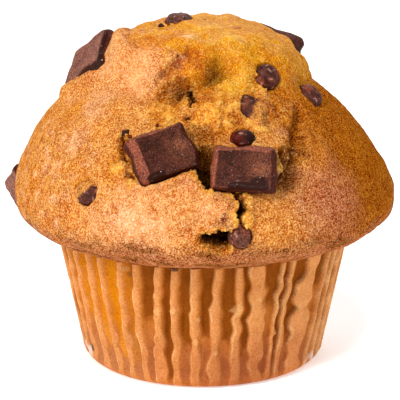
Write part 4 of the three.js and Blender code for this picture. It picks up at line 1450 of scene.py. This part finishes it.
case_mottle = 1 + 0.09 * rough(sheet, 2.4, 3, 212)
case_paint = np.clip(case_paint * case_mottle[:, None] ** PAPER_MOTTLE_POWERS, 0, 1)

case = new_piece("pleated_case", case_points, case_faces, paper, {"paint": case_paint})
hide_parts("paper_case")

# %% [markdown]
# ## Chunks
#
# A chunk is a slab cut from a bar: four sides slope up to an outer face that is sunk a little
# between raised edges, and all its edges are worn round. A bevelled cube would have edges all alike.
# Here a cube's lattice is pressed to a rounded block: each point is divided by its p-norm, the p-th
# root of the summed p-th powers of its three parts, which for a large p is a cube with soft edges.

# %% Block lattice
def box_lattice(steps):
    """Points of a cube from -1 to 1, closer together at its edges, without doubles, and its quads
    facing outwards."""
    cells = np.stack(np.meshgrid(np.arange(steps + 1), np.arange(steps + 1), indexing="ij"), -1)
    cells = cells.reshape(-1, 2)
    quads = lattice_faces(steps + 1, steps + 1, wrap=False)
    points, faces = [], []
    for axis in range(3):
        for end in (0, steps):
            seat = np.insert(cells, axis, end, axis=1)
            faces.append((quads if (end == 0) != (axis == 1) else quads[:, ::-1])
                         + len(cells) * len(points))
            points.append(seat)
    seats, index = np.unique(np.concatenate(points), axis=0, return_inverse=True)
    return np.sin((seats / steps - 0.5) * np.pi), index.ravel()[np.concatenate(faces)]


def p_norm(points, power):
    """The p-th root of the summed p-th powers of each point's parts."""
    return (np.abs(points) ** power).sum(1) ** (1 / power)


# %% Looks of the chunks
FACE_BROWN = tone(76, 39, 29)
LIT_BROWN = tone(142, 80, 60)
EDGE_BROWN = tone(150, 92, 72)
SIDE_PURPLE = tone(76, 34, 26)
MELT_RED = tone(46, 13, 4)
SIDE_RED = tone(112, 40, 24)
SHADE_BROWN = tone(62, 40, 38)
GOLDEN_BLOOM_AND_LIGHT = tone(138, 84, 60)
DEEP_SHADE = tone(50, 22, 10)
PALE_DUST = tone(140, 92, 78)
# How much pale dust covers a chunk or a chip, from 0 to 1
DUSTY = {"chunk_upper_left": 0.8, "chunk_upper_right": 0.2, "chunk_left_edge": 0.9,
         "chip_low": 0.3}
# A chunk that lies in the crown's shade: how much of SHADE_BROWN it takes on, from 0 to 1
IN_SHADE = {"chunk_upper_right": 0.75}
# How far each side of a chunk slopes in: left, right, bottom, top, in mm
SLOPE_RUNS = {
    "chunk_front_left": (1.45, 1.1, 0.35, 0.35),
    "chunk_front_right": (0.75, 0.95, 0.35, 0.95),
    "chunk_upper_left": (0.5, 0.4, 0.5, 0.3),
}
USUAL_RUNS = (1.0, 0.9, 0.5, 0.7)
# Worn corners: which corner of the outline, and how far it is pulled right and up, in mm
CORNER_PULLS = {
    "chunk_upper_left": [((1, 1), (0.6, 1.3)), ((1, -1), (1.0, 0.2)), ((-1, 1), (0.0, -0.4))],
    "chunk_upper_right": [((1, 1), (0.4, -2.0)), ((-1, 1), (0.0, -0.5))],
    "chunk_front_left": [((1, -1), (-0.6, 0.0)), ((-1, 1), (-0.3, 0.3))],
    "chunk_front_right": [((-1, -1), (-0.4, -0.1)), ((1, 1), (0.5, 0.0))],
}
# A dark side that shows past a chunk's face, beyond both lines: a place on each in mm, and the way
# from there across the line
DARK_SIDES = {"chunk_upper_left": [((2.8, -1.6), (0.0, -1.0)), ((-0.8, -2.9), (0.67, -0.75))]}
# Melted places on a chunk's face: (x, y) as parts of its half size, and half width and height in mm
MELTS = {
    "chunk_front_left": [((-0.55, -0.80), (1.8, 1.0)), ((0.0, -1.0), (3.2, 0.55))],
    "chunk_front_right": [((-0.10, -0.86), (2.7, 0.95)), ((0.50, -0.70), (1.8, 1.5))],
    "chunk_upper_left": [((1.12, 0.0), (1.2, 8.0))],
    "chunk_upper_right": [((-0.8, -0.5), (2.6, 2.2))],
    "chunk_back_left": [((0.4, -0.8), (2.6, 1.1))],
    "chunk_back_top": [((-0.3, -0.8), (2.4, 1.2))],
}

# %% Shape and colour of a chunk
BLOCK_POWER = 11
FACE_SINK = 0.22
CHUNK_STEPS = 44
NOISE_APART = 40      # mm between two pieces' places in the noise, so that no two look alike
block, block_faces = box_lattice(CHUNK_STEPS)
block = block / p_norm(block, BLOCK_POWER)[:, None]


def melted_part(name, local, half, here):
    """1 where a chunk's face melted and 0 elsewhere."""
    melt = np.zeros(len(local))
    for place, reach in MELTS.get(name, []):
        away = (local[:, :2] - np.array(place) * half[:2]) / reach
        distance = np.linalg.norm(away, axis=1) + 0.22 * lumps(here, 1.8, 3)
        melt = np.maximum(melt, smooth_step(1.06, 0.9, distance) * (local[:, 2] > -0.9))
    return melt


def past_lines(name, local):
    """How far each point lies beyond the lines of a chunk's dark side, in mm."""
    across = [(local[:, :2] - place) @ np.array(way) for place, way in DARK_SIDES.get(name, [])]
    return np.min(across, axis=0) if across else np.full(len(local), -FAR)


def chunk_colours(name, local, here, face_part, on_face, side, melt, past):
    """The colour of each of a chunk's points, from where they lie on its face and its sides."""
    count = len(local)
    inset = face_part.max(1)
    sloping = smooth_step(0.9, 1.0, inset) * smooth_step(-1.8, -1.2, local[:, 2])
    leading = (local[:, 0] < 0) & (face_part[:, 0] >= face_part[:, 1])
    upper = (local[:, 1] > 0) & (face_part[:, 1] >= face_part[:, 0])
    arris = np.exp(-((inset - 0.985) / 0.022) ** 2) * on_face
    bloom_and_light = np.exp(-(((local[:, 0] - 3.0) / 2.2) ** 2 + ((local[:, 1] - 0.2) / 2.6) ** 2))
    shaded = np.exp(-(((local[:, 0] + 2.6) / 1.9) ** 2 + ((local[:, 1] - 2.0) / 1.5) ** 2))
    return washes(np.tile(FACE_BROWN, (count, 1)), [
        # a golden bloom that is partly painted light towards the face's right, and painted shade in its
        # upper left corner
        (0.55 * bloom_and_light * (1 + lumps(here, 2.2, 12)), GOLDEN_BLOOM_AND_LIGHT),
        (0.7 * shaded * on_face, DEEP_SHADE),
        (np.full(count, DUSTY.get(name, 0.0)), PALE_DUST),
        # painted light and shade on the slopes: the left and top ones, which face the lamp, are lit
        # brown, and the others keep a dark purple that is partly painted shade
        (sloping, SIDE_PURPLE),
        (0.9 * sloping * (leading | upper), LIT_BROWN),
        (0.5 * arris * (1 + lumps(here, 1.5, 9)), EDGE_BROWN),
        (side, SIDE_PURPLE),
        (0.6 * side * smooth_step(0.1, 0.6, lumps(here, 1.6, 10)), SIDE_RED),
        (melt, MELT_RED),
        (0.95 * smooth_step(-0.1, 0.25, past), DEEP_SHADE),
        (np.full(count, IN_SHADE.get(name, 0.0)), SHADE_BROWN),
    ])


def chunk_surface(name, seed):
    """A chunk's points in its own frame, with the colour and shine of each."""
    _, _, half = chunk_frame(name)
    left, right, bottom, top = SLOPE_RUNS.get(name, USUAL_RUNS)
    local = block * half - [0, 0, half[2]]
    slope = 1 - np.clip(-local[:, 2] / CHUNK_SLOPE_DEPTH, 0, 1) ** 0.9
    runs = np.stack([np.where(local[:, 0] < 0, left, right),
                     np.where(local[:, 1] < 0, bottom, top)], axis=1)
    local[:, :2] *= 1 - slope[:, None] * runs / half[:2]
    face_part = np.abs(local[:, :2]) / (half[:2] - runs)
    inset = face_part.max(1)
    on_face = smooth_step(-0.5, -0.15, local[:, 2])
    bowl = smooth_step(0.99, 0.80, inset) + 0.9 * smooth_step(1.0, 0.2, inset)
    local[:, 2] -= FACE_SINK * on_face * bowl
    here = local + NOISE_APART * seed
    for corner, pull in CORNER_PULLS.get(name, []):
        toward = ((1 + np.array(corner) * local[:, :2] / half[:2]) / 2).clip(0, 1).prod(1)
        local[:, :2] += toward[:, None] ** 1.5 * np.array(pull)
    # the upper part leans to the middle and a little to the left
    local[:, 0] -= (0.06 * local[:, 0] + 0.045 * local[:, 1]) * smooth_step(-0.5, 1.5, local[:, 1])
    local[:, :2] += 0.34 * stray(here, 4.0, 20)[:, :2]
    wobble = 0.16 * lumps(here, 4.0, 1) + 0.11 * lumps(here, 1.5, 2)
    side = smooth_step(-1.1, -1.9, local[:, 2])
    local += ((0.8 + 0.8 * side) * wobble)[:, None] * block
    melt = melted_part(name, local, half, here)
    local[:, 2] -= 0.03 * melt * on_face
    past = past_lines(name, local)
    local[:, 2] -= 0.5 * np.clip(past, 0, 3)
    local += (0.03 * lumps(here, 0.8, 4) * (1 - melt))[:, None] * block
    colour = chunk_colours(name, local, here, face_part, on_face, side, melt, past)
    shine = np.clip(melt + 0.45 * side * smooth_step(0.0, 0.5, lumps(here, 1.3, 11)), 0, 1)
    return local, colour, shine


# %% All chunks
for number, name in enumerate(CHUNKS):
    spot, axes, _ = chunk_frame(name)
    local, colour, shine = chunk_surface(name, number)
    piece = new_piece(name + "_slab", spot + local @ axes, [block_faces], chocolate,
                      {"paint": colour, "shine": shine})
    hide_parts(name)

# %% [markdown]
# ## Chips
#
# A chip is a round drop of chocolate. In the oven it softened and took on dents and a dusty bloom.
# The same cube lattice, pressed to a ball, has no poles where faces would crowd.

# %% Shape and colour of a chip
CHIP_STEPS = 22
ball, ball_faces = box_lattice(CHIP_STEPS)
ball = ball / p_norm(ball, 2)[:, None]
CHIP_PURPLE = tone(84, 44, 36)
CHIP_RED = tone(122, 62, 44)
CLEAR_RED = tone(92, 24, 10)
MELTED_BROWN = tone(46, 22, 18)
CHIP_HOLLOW = tone(42, 18, 10)
CHIP_GLINT = tone(186, 140, 128)
# A chip's stretch to its right and up, how dented and how glossy it is, and the direction from which
# crumb covers it, with how far the cover reaches, from -1 (nothing) to 1 (all)
CHIP_LOOKS = {
    "chip_crown": (1.05, 0.92, 1.3, 0.2, (0.0, -1.0), -0.98),
    "chip_torn": (1.2, 1.5, 1.7, 0.7, (0.75, -0.66), -0.1),
    "chip_shoulder": (1.0, 1.15, 1.0, 0.2, (-0.7, 0.7), -0.98),
    "chip_left": (1.15, 1.0, 1.2, 0.3, (-0.75, 0.65), 0.05),
    "chip_low": (0.95, 1.0, 0.6, 0.1, (0.5, -0.9), -0.85),
    "chip_melted": (1.3, 0.85, 1.6, 0.9, (0.0, -1.0), -0.98),
    "chip_top": (1.25, 0.9, 2.0, 0.3, (0.0, 1.0), -0.98),
}
USUAL_LOOKS = (1.0, 1.0, 1.0, 0.3, (0.7, -0.7), -0.7)
MELTED_CHIPS = ["chip_melted"]      # clear red on the left and dull brown on the right


def chip_surface(name, seed):
    """A chip's points in its own frame, a ball with dents, with the colour and shine of each."""
    _, _, radius, depth = chip_frame(name)
    wide, tall, dented, gloss, film_from, film_reach = CHIP_LOOKS.get(name, USUAL_LOOKS)
    here = ball * radius + NOISE_APART * seed
    dent = 1 + dented * (0.09 * lumps(here, 2.4, 5) + 0.05 * lumps(here, 1.1, 6)) - 0.03 * dented
    local = ball * dent[:, None] * [radius * wide, radius * tall, depth] - [0, 0, depth]
    toward = ball[:, :2] @ np.array(film_from) + 0.25 * lumps(here, 1.3, 10)
    film = smooth_step(-0.06, 0.06, toward + film_reach) * (film_reach > -0.9)
    local += (0.14 * film * (1 + lumps(here, 0.9, 11)))[:, None] * ball
    melted = float(name in MELTED_CHIPS)
    rightward = ball[:, 0] + 0.3 * lumps(here, 1.5, 9)
    colour = washes(np.tile(CHIP_PURPLE, (len(ball), 1)), [
        (smooth_step(0, 0.5, lumps(here, 2.0, 7)), CHIP_RED),
        (np.full(len(ball), DUSTY.get(name, 0.0)), PALE_DUST),
        (melted * smooth_step(0.2, -0.4, rightward), CLEAR_RED),
        (melted * smooth_step(-0.1, 0.5, rightward), MELTED_BROWN),
        (0.8 * smooth_step(0.05, 0.55, lumps(here, 1.3, 12)), CHIP_HOLLOW),
        (0.8 * smooth_step(0.4, 0.75, lumps(here, 0.9, 13)), CHIP_GLINT),
        (film * (1 - 0.5 * smooth_step(0.2, 0.7, lumps(here, 0.8, 14))), CRUMB_FILM),
    ])
    shine = np.clip(gloss + 0.6 * lumps(here, 1.8, 8), 0, 0.95)
    return local, colour, shine * (1 - film)


# %% All chips
for number, name in enumerate(CHIPS):
    spot, axes, _, _ = chip_frame(name)
    local, colour, shine = chip_surface(name, number)
    piece = new_piece(name + "_drop", spot + local @ axes, [ball_faces], chocolate,
                      {"paint": colour, "shine": shine})
    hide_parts(name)

# %% [markdown]
# ## Loose crumbs and bits
#
# Where crumb tore open, small grains of it stand up and hang on at the edges. The lattice is too
# smooth for that. So about a thousand small grains sit there, each a coarse ball with uneven points,
# all made at once and joined in one mesh. They take the colour of the crumb they sit on. The bits
# that broke off the chunks are made in the same way.

# %% Scattered grains
grain_ball, grain_faces = box_lattice(2)
grain_ball = grain_ball / p_norm(grain_ball, 2)[:, None]


def scatter(name, chosen, sizes, sink, colours, material, attributes):
    """Joins one uneven grain for each chosen point of the muffin's surface. `sizes` are radii in mm;
    `sink` says how much of a grain is buried, as a part of its radius."""
    count, corners = len(chosen), len(grain_ball)
    uneven = grain_ball[None] * (1 + 0.22 * rng.normal(size=(count, corners, 1)))
    stretch = rng.uniform(0.65, 1.3, (count, 1, 3))
    seats = surface[chosen] + surface_normals[chosen] * (sizes * (1 - 2 * sink))[:, None] * 0.5
    points = seats[:, None] + uneven * stretch * sizes[:, None, None]
    faces = grain_faces[None] + corners * np.arange(count)[:, None, None]
    layers = {key: np.repeat(values, corners, axis=0) for key, values in attributes.items()}
    layers["paint"] = np.repeat(colours, corners, axis=0)
    return new_piece(name, points.reshape(-1, 3), [faces.reshape(-1, 4)], material, layers)


GRAIN_COUNT = 1100
SUNNY_CRUMB = tone(236, 168, 70)
on_torn = torn * (crack_depth < 1.0)
at_edge = smooth_step(-0.3, 0.05, crack_edge) * smooth_step(0.6, 0.2, crack_edge)
grain_weight = cap * (0.25 * on_torn + 3.0 * at_edge)
chosen = rng.choice(len(surface), GRAIN_COUNT, replace=False, p=grain_weight / grain_weight.sum())
grain_sizes = rng.uniform(0.15, 0.38, GRAIN_COUNT)
grain_colours = wash(paint[chosen], np.full(GRAIN_COUNT, 0.3), SUNNY_CRUMB)
grain_colours = grain_colours * rng.uniform(0.8, 1.15, (GRAIN_COUNT, 1))
scatter("crumb_grains", chosen, grain_sizes, 0.7, grain_colours, crust,
        {"moist": np.full(GRAIN_COUNT, 0.7), "grain": np.zeros(GRAIN_COUNT)})

# %% Bits of chocolate
BITS = [
    # (azimuth, height), radius, gloss: bits of chocolate that broke off or melted out
    ((32.5, 59.6), 0.5, 0.8),
    ((1.4, 34.6), 0.5, 0.3),
    ((5.2, 37.7), 0.4, 0.5),
    ((-28.6, 50.9), 0.6, 0.7),
    ((-27.8, 51.3), 0.5, 0.7),
    ((-26.2, 50.7), 0.5, 0.7),
    ((-17.0, 52.3), 0.5, 0.7),
    ((-57, 67.9), 0.6, 0.5),
    ((-50, 68.2), 0.5, 0.5),
    ((8, 69.3), 0.3, 0.4),
    ((-170, 60.0), 0.6, 0.6),
    ((140, 48.0), 0.5, 0.5),
    ((-135, 56.0), 0.6, 0.7),
]
RED_PART = 0.4      # how many of the bits are red
BIT_RED = tone(118, 40, 18)
BIT_BROWN = tone(66, 30, 26)
bit_seats = np.array([np.argmin(near_place(outline, *place)) for place, _, _ in BITS])
bit_sizes = np.array([radius for _, radius, _ in BITS])
bit_shine = np.array([gloss for _, _, gloss in BITS])
bit_colours = np.where(rng.random((len(BITS), 1)) < RED_PART, BIT_RED, BIT_BROWN)
scatter("chocolate_bits", bit_seats, bit_sizes, 0.5, bit_colours, chocolate,
        {"shine": bit_shine})

# %% Floor
FLOOR_FRONT, FLOOR_BACK, FLOOR_CURVE, FLOOR_TOP, FLOOR_HALF_WIDTH = -1500, 700, 500, 1800, 1600


def floor_sweep():
    """A broad floor that curls up far behind the object. The profile runs along Y: flat, then a
    quarter circle, then straight up."""
    flat = np.linspace(FLOOR_FRONT, FLOOR_BACK, 12)
    turn = np.linspace(0, np.pi / 2, 17)[1:]
    y = np.concatenate([flat, FLOOR_BACK + FLOOR_CURVE * np.sin(turn), [FLOOR_BACK + FLOOR_CURVE]])
    z = np.concatenate([0 * flat, FLOOR_CURVE - FLOOR_CURVE * np.cos(turn), [FLOOR_TOP]])
    x = np.linspace(-FLOOR_HALF_WIDTH, FLOOR_HALF_WIDTH, 9)
    points = np.stack([np.repeat(x[None], len(y), 0), np.repeat(y[:, None], len(x), 1),
                       np.repeat(z[:, None], len(x), 1)], axis=-1).reshape(-1, 3)
    mesh = bpy.data.meshes.new("floor")
    mesh.from_pydata(points * MM, [], lattice_faces(len(y), len(x), wrap=False).tolist())
    mesh.polygons.foreach_set("use_smooth", [True] * len(mesh.polygons))
    material, _, shader, _ = new_material("pale floor")
    shader.inputs["Base Color"].default_value = (0.9, 0.9, 0.9, 1)
    shader.inputs["Roughness"].default_value = 0.9
    shader.inputs["Emission Color"].default_value = (1, 1, 1, 1)
    shader.inputs["Emission Strength"].default_value = FLOOR_GLOW
    mesh.materials.append(material)
    floor = bpy.data.objects.new("floor", mesh)
    scene.collection.objects.link(floor)


floor_sweep()
